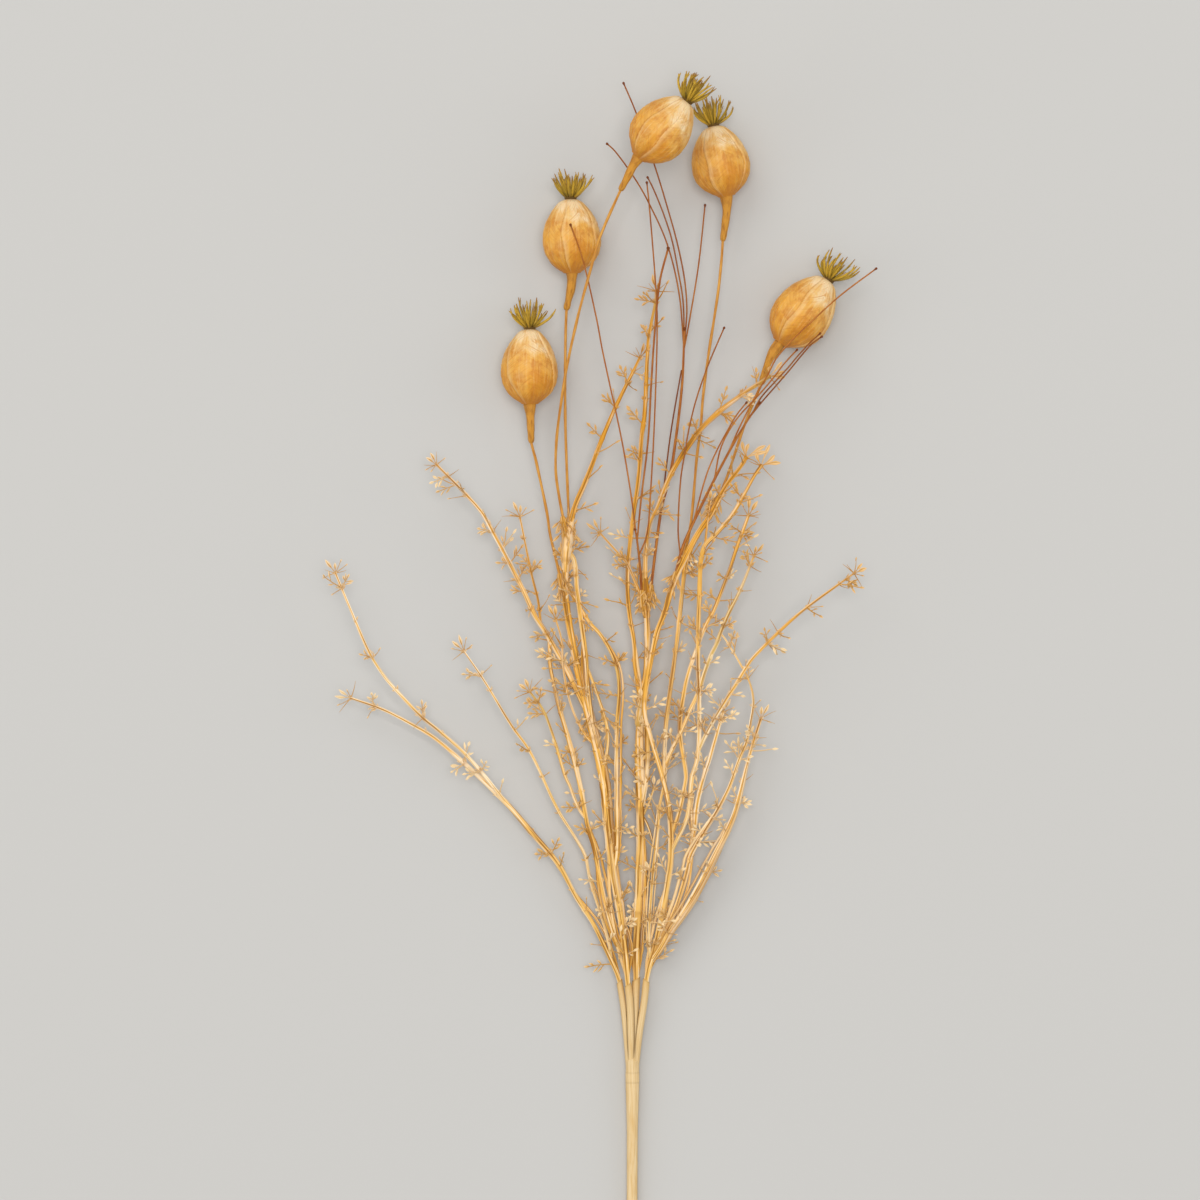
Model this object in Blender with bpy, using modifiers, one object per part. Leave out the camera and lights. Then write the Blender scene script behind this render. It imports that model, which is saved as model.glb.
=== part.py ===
"""A dried poppy seed head spray lying on a flat surface.

Five poppy heads, four golden whorled twigs and three bunches of thin wires stand in
one taped main stem. The spray lies along +Y with its heads at the far end, +X is to
its right and +Z is up from the surface, which is at zero height.

Branches follow routes chosen by hand. Across the surface a route is given in the
photograph's pixels, and PIXEL turns those into metres. Heights, radii and all other
sizes are real ones, in millimetres.
"""

import math
import random
from collections import namedtuple

import bmesh
import bpy
import numpy as np
from mathutils import Matrix, Vector

# Driving dimensions
MM = 0.001
PIXEL = 0.65 * MM
MIDDLE_X = 599.5
MIDDLE_Y = 670.9
BARE_FOOT_PIXEL = 955
GAP = 0.3
FLAT_ANGLE = 1
SMOOTH_ANGLE = 40
CLEARANCE = 0.6
LOWEST_TRIM = 1.2

# Main stem
SLEEVE_WALL = 0.75
FOOT_DEPTH = 12.0

# Poppy heads
STEM_RADIUS = 1.05
NECK_RADII = (4.3, 3.3, 2.7, 2.3, 2.0)
NECK_SOCKET_DEPTH = 9.0
SOCKET_DEPTH = 10.0
SOCKET_APPROACH = 9.0
SOCKET_WALL = 0.75
POD_SIDES = 16
PETALS = 4
PETAL_STEP = 0.55
PETAL_TWIST = 0.35
CROWN_PEG_RADIUS = 3.3
CROWN_PEG_DEPTH = 5.0
CROWN_COLLAR_RADIUS = 4.8
CROWN_COLLAR_HEIGHT = 1.8
BRISTLES = 24
BRISTLE_RADII = (0.6, 0.36)
BRISTLE_LENGTHS = (14.0, 21.0)
BRISTLE_LEAN = math.radians(52)
BRISTLE_MOST_LEAN = math.radians(62)
GOLDEN_ANGLE = math.radians(137.5)

# Pod outline from the crown's seat to the neck: share of the length, share of the radius
POD_OUTLINE = (
    (0.0, 0.27),
    (0.05, 0.42),
    (0.16, 0.66),
    (0.30, 0.86),
    (0.45, 0.97),
    (0.60, 1.0),
    (0.74, 0.93),
    (0.86, 0.74),
    (0.94, 0.50),
    (1.0, 0.25),
)

# Bevel resolutions: four sides on thin rods, six on thick ones, eight on the main stem
THIN_ROD = 0
THICK_ROD = 1
ROUND_ROD = 2
THICK_RADIUS = 2.3
LEAST_BEND = 0.25
FOOT_PLACES = 2

# Twig trimmings
LEAFLET_LENGTHS = (3.4, 5.0)
LEAFLET_WIDTH = 1.8
LEAFLET_NECK = 0.9
TRIM_THICKNESS = 0.8
STALK_WIDTH = 0.9
SPRIG_STALKS = (6.0, 9.0)
LEAFLET_PITCH = 1.8
NEEDLE_LENGTHS = (7.0, 13.0)
NEEDLE_RADII = (0.45, 0.25)
FAN_SPLAYS = (48, 16, -16, -48)
FAN_REACHES = (5.0, 8.0)
FAN_NOTCH = 1.5
TRIM_RADIUS = 0.5
ROOT_REACH = 1.5
WHORL_TRIES = 8

Branch = namedtuple("Branch", "points heights radii start_on end_on whorls tip")
Poppy = namedtuple("Poppy", "seat join radius height rise turn rests neck stem stem_heights host")
Hair = namedtuple("Hair", "points heights radii start_on knob")
Trim = namedtuple("Trim", "kind base way normal outline rods")


def branch(points, heights, radii, start_on=None, end_on=None, whorls=0, tip=False):
    """One forked branch: heights and radii are spread evenly along its route."""
    return Branch(points, heights, radii, start_on, end_on, whorls, tip)


# Routes of the twigs, from the foot outwards
TWIG_LEFT = {
    "low": branch(
        [(622, 999), (619.5, 982), (613, 965), (602, 942), (594, 926), (577, 899), (559, 866),
         (530, 831), (503, 800), (477, 776), (457, 757), (433, 737), (411, 724), (384, 710),
         (351, 698)],
        (9, 10, 13, 17, 21), (1.7, 1.6, 2.2, 1.5, 0.9), whorls=4, tip=True),
    "high": branch(
        [(508, 805), (482, 773), (462, 751), (438, 730), (422, 717), (401, 695), (386, 678),
         (370, 653), (350, 607), (336, 573)],
        (17, 21, 26, 30), (1.5, 1.4, 1.2, 0.9), start_on="low", whorls=4, tip=True),
    "inner": branch(
        [(612, 962), (609, 945), (603, 922), (597, 903), (590, 880), (585, 856), (575, 838),
         (557, 809), (530, 752), (511, 725), (485, 682), (464, 651)],
        (10, 11, 16, 22), (1.1, 1.1, 1.0, 0.7), start_on="low", whorls=2, tip=True),
}

TWIG_MID_LEFT = {
    "main": branch(
        [(630, 1003), (628, 985), (625, 950), (620, 915), (614, 880), (609, 845), (606, 815),
         (604, 790), (600, 765), (594, 740), (587, 712), (582, 690), (576, 660), (571, 635),
         (567, 610), (565, 585), (565.5, 560), (568, 535), (572, 518), (575, 506), (584, 485),
         (592, 464), (602, 439), (612, 415), (629, 380), (640, 358)],
        (12, 13, 15, 16.5, 17.5, 19, 21), (1.8, 2.6, 2.8, 2.5, 2.5, 1.7, 1.1), whorls=4, tip=True),
    "knot": branch(
        [(566, 572), (566, 556), (567.5, 540), (570, 526), (572.5, 514)],
        (17, 17.4, 18), (2.6, 4.4, 1.8), start_on="main", end_on="main"),
    "right": branch(
        [(567, 550), (574, 560), (577, 590), (580, 610), (583, 635), (586, 660), (588, 690),
         (591, 715), (595, 738)],
        (17.5, 19, 16), (1.8, 1.7, 1.8), start_on="main", end_on="main", whorls=2),
    "far": branch(
        [(586, 712), (578, 694), (569, 675), (559, 657), (546, 633), (535, 616), (525, 594),
         (508, 560), (494, 534), (480, 510), (460, 489), (437, 465)],
        (16, 19, 23, 27), (2.0, 1.9, 1.6, 1.0), start_on="main", whorls=5, tip=True),
    "fork": branch(
        [(541, 625), (538, 600), (532, 576), (526, 548), (520, 517)],
        (20, 24), (0.95, 0.75), start_on="far", whorls=1, tip=True),
    "thread": branch(
        [(593, 746), (586, 736), (578, 722), (572, 708), (567, 690), (563, 665), (561.5, 640),
         (556, 620)],
        (16, 19, 21), (1.0, 0.75), start_on="main", whorls=1, tip=True),
    "loop": branch(
        [(588, 665), (594, 685), (600, 702), (605, 718), (608, 735), (607, 752), (602, 775)],
        (18, 19, 15), (1.0, 1.2), start_on="right", end_on="main", whorls=1),
    "bow": branch(
        [(613, 874), (616.5, 850), (617, 830), (616.5, 800), (616.5, 760), (617, 725),
         (619, 700), (619, 682), (616, 665), (609, 648), (600, 634), (589, 622), (583, 612),
         (576, 600), (565, 585)],
        (13.5, 15, 18, 18, 17.5), (1.8, 1.6, 1.3, 1.3), start_on="main", end_on="main", whorls=4),
    "outer": branch(
        [(623, 955), (617, 942), (612, 927), (606, 907), (602, 888), (598, 868), (594, 848),
         (588, 828), (584, 808), (581, 790), (577, 772), (573, 755), (568, 737), (563, 720),
         (558, 703), (554, 685), (550, 665), (546, 640)],
        (13, 13.5, 15, 18), (1.6, 1.6, 1.9, 1.1), start_on="main", end_on="far", whorls=4),
    "side": branch(
        [(586, 820), (580, 811), (574, 798), (570, 787), (565, 776), (561, 762), (556, 745),
         (551, 731), (546, 716), (540, 705), (530, 692)],
        (14, 17, 22), (1.2, 1.1, 0.85), start_on="outer", whorls=2, tip=True),
}

TWIG_CENTRE = {
    "main": branch(
        [(635.5, 998), (636.3, 980), (636.5, 950), (637.5, 915), (639, 880), (640.5, 840),
         (640, 815), (639, 790), (638.5, 760), (638.6, 730), (640, 703), (637.5, 685),
         (635, 663), (634.5, 649), (633, 636), (630.5, 622), (628.3, 604), (627.5, 585),
         (628, 565), (629.5, 548), (633.6, 513), (638.6, 478), (641.5, 438), (644.6, 414),
         (646.6, 372), (648, 345), (651, 325), (655, 304), (656, 292)],
        (8, 10, 12, 14, 16, 19, 22, 27), (2.1, 3.2, 3.0, 1.6, 1.5, 1.6, 1.6, 0.9),
        whorls=6, tip=True),
    "second": branch(
        [(642, 818), (644, 795), (646.5, 775), (647.5, 751), (646.5, 728), (641, 703)],
        (12, 14, 14), (1.9, 2.0), start_on="main", end_on="main", whorls=1),
    "knot": branch(
        [(639, 724), (640, 712), (641.5, 700), (643, 688)],
        (13.5, 14.5), (3.0, 3.7, 3.6, 2.2), start_on="main"),
    "tall": branch(
        [(641, 702), (645.5, 680), (647, 660), (647.5, 640), (647, 620), (646, 605), (645, 590),
         (645, 578), (645.6, 555), (650, 524), (658, 506), (665, 489), (672, 472), (683, 455),
         (694, 438), (704, 426), (718, 413), (732, 402), (746, 392), (760, 383), (769, 377)],
        (14, 16, 17, 19, 23, 29), (2.4, 2.2, 2.0, 1.6, 1.9, 2.0, 1.2), start_on="main",
        whorls=5, tip=True),
    "tall_knot": branch(
        [(647, 618), (646, 604), (645, 590), (645, 574)],
        (15.5, 16.5), (2.2, 3.4, 3.3, 1.8), start_on="tall", end_on="tall"),
    "cross": branch(
        [(645, 605), (640, 593), (634, 580), (627, 564), (618, 553), (609, 543), (600, 533)],
        (16, 18, 20), (1.2, 1.0, 0.8), start_on="tall", whorls=1, tip=True),
    "spur_up": branch(
        [(642, 822), (649, 803), (654, 789)],
        (11.5, 12.5), (1.0, 0.8), start_on="main", tip=True),
    "spur_down": branch(
        [(641, 812), (646, 822), (650, 832), (653, 842)],
        (12, 11), (1.0, 0.9, 0.7), start_on="main"),
}

TWIG_RIGHT = {
    "main": branch(
        [(645, 999), (646.5, 981), (650, 965), (655, 949), (661, 920), (666, 892), (670, 869),
         (671, 850), (670.5, 820), (667, 796), (663.6, 783), (660, 768), (656, 754), (650, 735),
         (645, 716), (645, 696), (648.5, 675), (652, 655), (657, 632), (665, 611), (673, 584),
         (686, 556), (697, 535), (709.6, 516), (718, 500), (728, 483), (739.5, 468), (746, 458)],
        (11, 13, 16, 20, 23, 24.5, 25.5, 27), (1.8, 2.2, 2.2, 1.6, 1.7, 2.1, 2.2, 1.3),
        whorls=5, tip=True),
    "pale": branch(
        [(664, 786), (664.5, 765), (665, 740), (667, 715), (670, 695), (673, 670), (677, 640),
         (681, 600), (684, 575), (688, 552)],
        (18, 20, 22, 24), (1.7, 1.6, 1.6), start_on="main", end_on="main", whorls=2),
    "thin": branch(
        [(651, 962), (649, 940), (650.7, 909), (652.5, 880), (655, 858), (658, 830),
         (660, 805), (663.6, 784)],
        (12, 14, 17), (1.2, 1.1, 1.1), start_on="main", end_on="main", whorls=1),
    "edge": branch(
        [(651, 964), (661, 947), (669, 932), (680.5, 915), (690, 901), (697, 888),
         (703, 876), (709, 864), (714, 855), (722, 840), (732, 819), (737, 804), (740.4, 792),
         (744.5, 776), (750.6, 751), (756.7, 731), (760.4, 719)],
        (13, 16, 20, 25), (1.6, 1.7, 1.6, 1.2), start_on="main", whorls=4, tip=True),
    "reach": branch(
        [(656, 948), (664, 936), (669, 925), (676, 908), (682, 890), (687, 872), (690, 858),
         (694, 849), (701, 837), (706, 829), (713, 816), (726, 794), (730, 783), (740, 757),
         (746.5, 741), (751.6, 715), (753, 705), (752.5, 694), (749.6, 683), (743.4, 669.6),
         (733.6, 653.6), (725, 639), (720, 633)],
        (13, 16, 20, 24, 25, 27), (1.7, 1.8, 1.4, 1.3, 0.85, 0.7), start_on="main", whorls=4),
    "inner": branch(
        [(689, 862), (691.4, 848), (694, 833), (695.5, 817), (697.6, 802), (701.6, 785),
         (705.7, 770), (709, 761), (714, 744), (719, 727), (723, 712)],
        (16, 19, 23), (1.8, 1.9, 1.6, 1.2), start_on="reach", whorls=2, tip=True),
    "upright": branch(
        [(671, 854), (677, 840), (683, 828), (688, 814), (690, 800), (692, 778), (697, 760),
         (699, 740), (699, 720), (699, 695), (698, 669), (698, 636), (699, 602), (701, 558),
         (705, 545), (716, 534), (731, 516), (743, 496), (754, 476), (761, 466)],
        (17, 20, 23, 26, 28, 30), (1.4, 1.7, 1.6, 1.7, 1.6, 1.2), start_on="main",
        whorls=5, tip=True),
    "cross": branch(
        [(694, 838), (691.5, 820), (690, 800)],
        (17, 18.5), (1.2, 1.2), start_on="inner", end_on="upright"),
    "rib": branch(
        [(671.5, 838), (677, 820), (681, 805), (684, 790), (686, 775), (683, 758), (680.5, 740),
         (680, 720), (683, 698), (688, 675), (695, 655), (701, 637), (708, 620.6), (713, 612),
         (719.6, 596), (728, 574), (736, 549), (743, 529), (748, 516)],
        (17, 19.5, 22.5, 27, 31), (1.6, 1.6, 1.7, 1.4, 1.5, 1.1), start_on="main",
        whorls=4, tip=True),
    "bough": branch(
        [(665, 766), (671, 752), (677, 740), (683, 727), (689, 712), (695, 700), (700, 688),
         (704.7, 672), (711, 655), (716, 645), (721, 631), (729.5, 611), (739.5, 591),
         (746, 574), (753.6, 556)],
        (19, 21, 25, 29, 33), (1.5, 1.7, 1.6, 1.4, 1.0), start_on="pale", whorls=4, tip=True),
    "arm": branch(
        [(699, 752), (703, 741), (708.6, 729.5), (715.7, 717), (722, 707), (728, 696),
         (735.4, 685), (744, 670.5), (753.5, 657), (768, 642), (784.5, 626), (806, 607.5),
         (827, 592), (853, 573.4)],
        (21, 27, 33, 38), (1.5, 1.5, 1.2, 0.8), start_on="upright", whorls=3, tip=True),
    "twiglet": branch(
        [(705, 545), (707, 525), (709.6, 502)],
        (27, 27.5), (0.9, 0.75), start_on="upright", tip=True),
}

TWIGS = {
    "twig_left": TWIG_LEFT,
    "twig_mid_left": TWIG_MID_LEFT,
    "twig_centre": TWIG_CENTRE,
    "twig_right": TWIG_RIGHT,
}

# Routes of the main stem and its four sleeves, downwards from each mouth
MAIN_STEM_ROUTE = [(632, 1270), (632.3, 1200), (632.5, 1130), (632.6, 1086), (632.6, 1062)]
MAIN_STEM_HEIGHTS = (3.42, 4.6, 5.6, 6.2, 6.4)
MAIN_STEM_RADII = (3.6, 3.6, 3.7, 4.55, 4.5)
SLEEVES = {
    "twig_left": [(619.5, 982), (623, 1004), (627, 1040), (630, 1076)],
    "twig_mid_left": [(628, 985), (630, 1005), (631, 1040), (631.5, 1078)],
    "twig_centre": [(636.3, 980), (635.4, 1000), (634.6, 1040), (633.5, 1078)],
    "twig_right": [(646.5, 981), (644.5, 1001), (638.5, 1040), (634.5, 1076)],
}
SLEEVE_BASE_HEIGHT = 6.3

# Poppy heads: seat of the crown, start of the neck, neck and stem routes
POPPIES = {
    1: Poppy(
        seat=(686, 105), join=(638, 160), radius=19.4, height=52, rise=7, turn=-16, rests=False,
        neck=[(638, 160), (632, 170), (626.5, 181), (621, 191.5)],
        stem=[(609.5, 218), (599.8, 240), (590.5, 272), (582.7, 300), (577, 322), (571, 348),
              (566.5, 370), (562.5, 395), (557, 436), (555.8, 471), (559.5, 499), (562.5, 515),
              (564.5, 533)],
        stem_heights=(49, 47, 45, 41, 36, 29, 22.5, 19.6), host="twig_mid_left"),
    2: Poppy(
        seat=(713.5, 126), join=(727, 196), radius=19.2, height=18.8, rise=0, turn=4, rests=True,
        neck=[(727, 196), (726.8, 209), (725, 224), (723, 239)],
        stem=[(721.7, 258), (718, 293), (713, 328), (707, 365), (702.8, 400), (700.7, 428),
              (697, 456), (694, 486), (692, 513), (689, 534), (683, 562)],
        stem_heights=(18.8, 18.4, 17.6, 17, 17.2, 20, 24), host="twig_right"),
    3: Poppy(
        seat=(570.5, 199), join=(572, 273), radius=19.3, height=18.8, rise=0, turn=2, rests=True,
        neck=[(572, 273), (571.2, 285), (569, 297), (566.6, 308)],
        stem=[(566.5, 326), (565.3, 361), (565.3, 388), (565.5, 430), (567, 478), (568.5, 505),
              (569.5, 534)],
        stem_heights=(18.8, 18.4, 17.4, 16.4, 15.4), host="twig_mid_left"),
    4: Poppy(
        seat=(529.5, 329), join=(530, 404), radius=18.8, height=18.4, rise=0, turn=0, rests=True,
        neck=[(530, 404), (530.4, 416), (530.6, 429), (531, 441)],
        stem=[(536, 461), (541.7, 489), (547, 513), (550, 534), (554, 552), (558, 568),
              (562.5, 590)],
        stem_heights=(18.4, 18, 17, 17), host="twig_mid_left"),
    5: Poppy(
        seat=(828, 280), join=(780, 343), radius=19.5, height=19.1, rise=0, turn=-16, rests=True,
        neck=[(780, 343), (771.5, 356), (766, 369), (762, 382)],
        stem=[(757.5, 393), (752, 407), (746, 421), (740, 438), (735, 454), (728, 474),
              (721, 492), (712, 511)],
        stem_heights=(19.6, 20.6, 22.5, 24.6), host="twig_right"),
}


def hair(points, heights, radii=(0.55, 0.5), start_on=None, knob=True):
    """One wire of a wisp: heights and radii are spread evenly along its route."""
    return Hair(points, heights, radii, start_on, knob)


# Routes of the wisps, from the foot outwards
WISPS = {
    "wisp_centre": ("twig_centre", {
        "stem": hair(
            [(648, 601), (651, 588), (655, 555), (662, 506), (669, 480), (673.5, 456), (678, 421),
             (682, 386), (683.8, 352), (684.5, 327)],
            (16.5, 14.5, 14, 15, 17, 19), (1.0, 1.0, 1.0, 0.7)),
        "far": hair(
            [(683.8, 350), (686.6, 318), (686.6, 300), (684.5, 279), (680, 255), (673, 227),
             (665, 199), (655, 167), (645, 139), (635.6, 112), (623, 82.4)],
            (18, 20, 22, 24), start_on="stem"),
        "bent": hair(
            [(684, 345), (681.7, 321), (679, 293), (673, 268), (667, 244), (659, 226), (648, 202),
             (634, 178), (626, 167), (615, 152), (606, 143.7)],
            (18, 22, 26, 28), start_on="stem"),
        "short": hair(
            [(684.3, 335), (683, 300), (678, 270), (672, 240), (664, 215), (654, 190), (647, 176)],
            (19, 18, 18), start_on="stem"),
        "right": hair(
            [(683.8, 352), (688.7, 325), (693, 300), (698.6, 265), (702.8, 230), (705.4, 203)],
            (18, 15, 11), start_on="stem"),
        "dark": hair(
            [(662, 508), (667, 462), (672, 425), (678, 392), (681.5, 370)],
            (14.4, 17, 20), start_on="stem", knob=False),
    }),
    "wisp_left": ("twig_centre", {
        "stem": hair(
            [(643, 607), (641.6, 590), (640.5, 572), (637, 540), (634.8, 528)],
            (17.4, 19.5, 22.5, 23.5), (0.95, 0.85, 0.6)),
        "over_pod": hair(
            [(636, 535), (632, 502), (626, 464), (620, 432), (609, 380), (603, 354), (596, 317),
             (588, 283), (582, 258), (570.2, 225.2)],
            (24, 28, 32, 36.5, 40), start_on="stem"),
        "upright": hair(
            [(638.7, 556), (647, 534), (650.5, 492), (653.7, 435), (655.8, 380), (657, 321),
             (655, 279), (652, 244), (648.7, 202), (646.5, 182.4)],
            (21.5, 27, 31, 33, 33, 33), start_on="stem"),
        "leaning": hair(
            [(637, 541), (641, 500), (648, 440), (651, 386), (654, 340), (659.5, 283),
             (668.4, 247.7)],
            (23, 27, 32, 33, 32), (0.6, 0.75), start_on="stem"),
    }),
    "wisp_right": ("twig_right", {
        "stem": hair(
            [(672, 588), (677, 568), (683, 546), (693, 523), (702, 505), (714, 480), (726.6, 456),
             (739, 434), (749, 418), (760, 402)],
            (24.2, 26.5, 28.5, 31, 34), (1.0, 1.0, 0.9, 0.6)),
        "dark_low": hair(
            [(749, 418), (761, 403), (774, 388), (788, 372), (801, 356), (812, 344), (822, 337)],
            (32, 35, 37, 38), start_on="stem"),
        "dark_high": hair(
            [(752, 413), (760, 399), (774, 383), (787, 369), (797, 357), (809, 344), (820, 334)],
            (33, 38, 41, 42), start_on="stem"),
        "over_pod": hair(
            [(726.6, 456), (740, 426), (757, 393), (768, 374), (775, 360), (787, 346),
             (801, 332), (821.6, 313), (838, 298), (852, 287), (876, 269.3)],
            (30.5, 35, 40, 43, 42, 40), start_on="stem"),
        "thin": hair(
            [(714, 480), (721, 447), (736, 420), (757, 397), (770, 382), (784, 364), (797, 350)],
            (29.5, 33, 38, 42), start_on="stem"),
        "left": hair(
            [(693, 523), (706, 476), (716, 452), (726.6, 432), (736.5, 415), (747, 402)],
            (27.5, 29, 31), start_on="stem"),
        "upright": hair(
            [(680.3, 556), (678, 530), (680.5, 480), (684.5, 454), (689, 428), (696, 400),
             (704, 376), (711, 358), (724.5, 327)],
            (26.2, 27.5, 28.5, 29, 28, 27, 26), start_on="stem"),
    }),
}

# Colours, from the photograph: colour and roughness
STRAW = ((0.76, 0.53, 0.24), 0.75)
GOLD = ((0.62, 0.36, 0.07), 0.6)
POD_GOLD = ((0.68, 0.37, 0.09), 0.55)
OLIVE = ((0.27, 0.18, 0.02), 0.7)
WIRE_BROWN = ((0.40, 0.16, 0.05), 0.6)
WISP_RED = ((0.33, 0.11, 0.05), 0.6)


def clear_scene():
    for old in list(bpy.data.objects):
        bpy.data.objects.remove(old, do_unlink=True)


def make_collection(name):
    group = bpy.data.collections.new(name)
    bpy.context.scene.collection.children.link(group)
    return group


def make_material(name, look):
    colour, roughness = look
    material = bpy.data.materials.new(name)
    material.use_nodes = True
    shader = material.node_tree.nodes["Principled BSDF"]
    shader.inputs["Base Color"].default_value = (*colour, 1)
    shader.inputs["Roughness"].default_value = roughness
    shader.inputs["Metallic"].default_value = 0
    return material


# Layout: places in millimetres

def spot(x, y, height):
    """A place over the surface in millimetres, from a pixel of the photograph."""
    scale = PIXEL / MM
    return Vector(((x - MIDDLE_X) * scale, (MIDDLE_Y - y) * scale, height))


def spread(values, share):
    """The value at a share of the way along evenly spread values."""
    return float(np.interp(share * (len(values) - 1), range(len(values)), values))


def lengths_along(places):
    total = [0.0]
    for near, far in zip(places, places[1:]):
        total.append(total[-1] + (far - near).length)
    return total


def lay_route(points, heights, radii):
    """Places and radii of a route, its heights and radii spread along its length."""
    flat = [spot(x, y, 0) for x, y in points]
    along = lengths_along(flat)
    shares = [value / along[-1] for value in along]
    places = [Vector((p.x, p.y, spread(heights, s))) for p, s in zip(flat, shares)]
    return places, [spread(radii, s) for s in shares]


def straightened(places, radii):
    """A route without the places that bend it by less than the least bend."""
    if len(places) < 3:
        return places, radii
    run = places[-1] - places[0]
    bends = []
    for place in places[1:-1]:
        share = min(1, max(0, (place - places[0]).dot(run) / run.length_squared))
        bends.append((places[0] + run * share - place).length)
    if max(bends) < LEAST_BEND:
        return [places[0], places[-1]], [radii[0], radii[-1]]
    middle = bends.index(max(bends)) + 1
    near, near_radii = straightened(places[:middle + 1], radii[:middle + 1])
    far, far_radii = straightened(places[middle:], radii[middle:])
    return near[:-1] + far, near_radii[:-1] + far_radii


def nearest_on(places, target):
    """The place on a route that is nearest to a target, seen from above."""
    best = None
    for near, far in zip(places, places[1:]):
        run = far - near
        flat_run = Vector((run.x, run.y))
        offset = Vector((target.x - near.x, target.y - near.y))
        share = min(1, max(0, offset.dot(flat_run) / flat_run.length_squared))
        place = near + run * share
        distance = (Vector((place.x, place.y)) - Vector((target.x, target.y))).length
        if best is None or distance < best[0]:
            best = (distance, place)
    return best[1]


def lay_branches(branches):
    """Routes of one twig or wisp, with each fork's ends put on its parent's centre line."""
    laid = {}
    for name, item in branches.items():
        places, radii = lay_route(item.points, item.heights, item.radii)
        if item.start_on:
            places[0] = nearest_on(laid[item.start_on][0], places[0])
        if getattr(item, "end_on", None):
            places[-1] = nearest_on(laid[item.end_on][0], places[-1])
        foot = 0 if item.start_on else FOOT_PLACES
        far, far_radii = straightened(places[foot:], radii[foot:])
        laid[name] = (places[:foot] + far, radii[:foot] + far_radii)
    return laid


def along_route(places, distance):
    """The place and direction at a distance along a route."""
    for near, far in zip(places, places[1:]):
        step = (far - near).length
        if distance <= step or far is places[-1]:
            direction = (far - near).normalized()
            return near + direction * distance, direction
        distance -= step
    return None


def route_end(places, depth, beyond):
    """The last stretch of a route, depth long, carried on by a length beyond its end."""
    backwards = list(reversed(places))
    kept = [backwards[0] + (backwards[0] - backwards[1]).normalized() * beyond]
    left = depth
    for near, far in zip(backwards, backwards[1:]):
        step = (far - near).length
        if step >= left:
            kept.append(near + (far - near).normalized() * left)
            break
        kept.append(far)
        left -= step
    return kept


class Surroundings:
    """Every rod laid so far, so that trimmings keep clear of the other nodes."""

    def __init__(self):
        self.starts = []
        self.ends = []
        self.radii = []
        self.nodes = []

    def lay(self, node, start, end, radius):
        self.starts.append(tuple(start))
        self.ends.append(tuple(end))
        self.radii.append(radius)
        self.nodes.append(node)

    def lay_route(self, node, places, radii):
        for index in range(len(places) - 1):
            self.lay(node, places[index], places[index + 1], max(radii[index], radii[index + 1]))

    def settle(self):
        self.start_array = np.array(self.starts)
        self.end_array = np.array(self.ends)
        self.radius_array = np.array(self.radii)
        self.node_array = np.array(self.nodes)

    def distances(self, place):
        """How far a place is from the middle of every rod."""
        run = self.end_array - self.start_array
        squared = np.maximum((run * run).sum(axis=1), 1e-9)
        share = np.clip(((place - self.start_array) * run).sum(axis=1) / squared, 0, 1)
        return np.linalg.norm(self.start_array + run * share[:, None] - place, axis=1)

    def accepts(self, node, trim, steps=7):
        """Lay a trimming if it is clear of the surface and of all rods but those it grows from."""
        foreign = self.node_array != node
        rooted = ~foreign & (self.distances(np.array(trim.base)) < self.radius_array + ROOT_REACH)
        limit = self.radius_array + TRIM_RADIUS + np.where(foreign, CLEARANCE, 0)
        limit[rooted] = -1
        for start, end in trim.rods:
            if min(start.z, end.z) - TRIM_RADIUS < LOWEST_TRIM:
                return False
            for step in range(steps):
                place = np.array(start.lerp(end, step / (steps - 1)))
                if (self.distances(place) < limit).any():
                    return False
        for start, end in trim.rods:
            self.lay(node, start, end, TRIM_RADIUS)
        self.settle()
        return True


def pod_frame(poppy):
    """The crown's seat, the unit axis from the neck to the seat, and the pod's length."""
    seat = spot(*poppy.seat, 0)
    join = spot(*poppy.join, 0)
    flat_axis = (seat - join).normalized()
    rise = math.radians(poppy.rise)
    axis = flat_axis * math.cos(rise) + Vector((0, 0, math.sin(rise)))
    length = (seat - join).length / math.cos(rise)
    middle = (seat + join) / 2
    middle.z = poppy.height
    return middle + axis * length / 2, axis, length


def lay_poppy(poppy):
    """Routes of a poppy's neck and stem: the stem's ends are buried in neck and host."""
    seat, axis, length = pod_frame(poppy)
    join = seat - axis * length
    start_height = join.z
    end_height = poppy.stem_heights[0]
    neck, neck_radii = lay_route(poppy.neck, (start_height, end_height), NECK_RADII)
    neck[0] = join + axis * 2
    buried = along_route(list(reversed(neck)), NECK_SOCKET_DEPTH - 1)[0]
    flat_stem, radii = straightened(
        *lay_route([poppy.neck[-1], *poppy.stem], poppy.stem_heights, (STEM_RADIUS,)))
    return neck, neck_radii, [buried, *flat_stem], [STEM_RADIUS, *radii]


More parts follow.
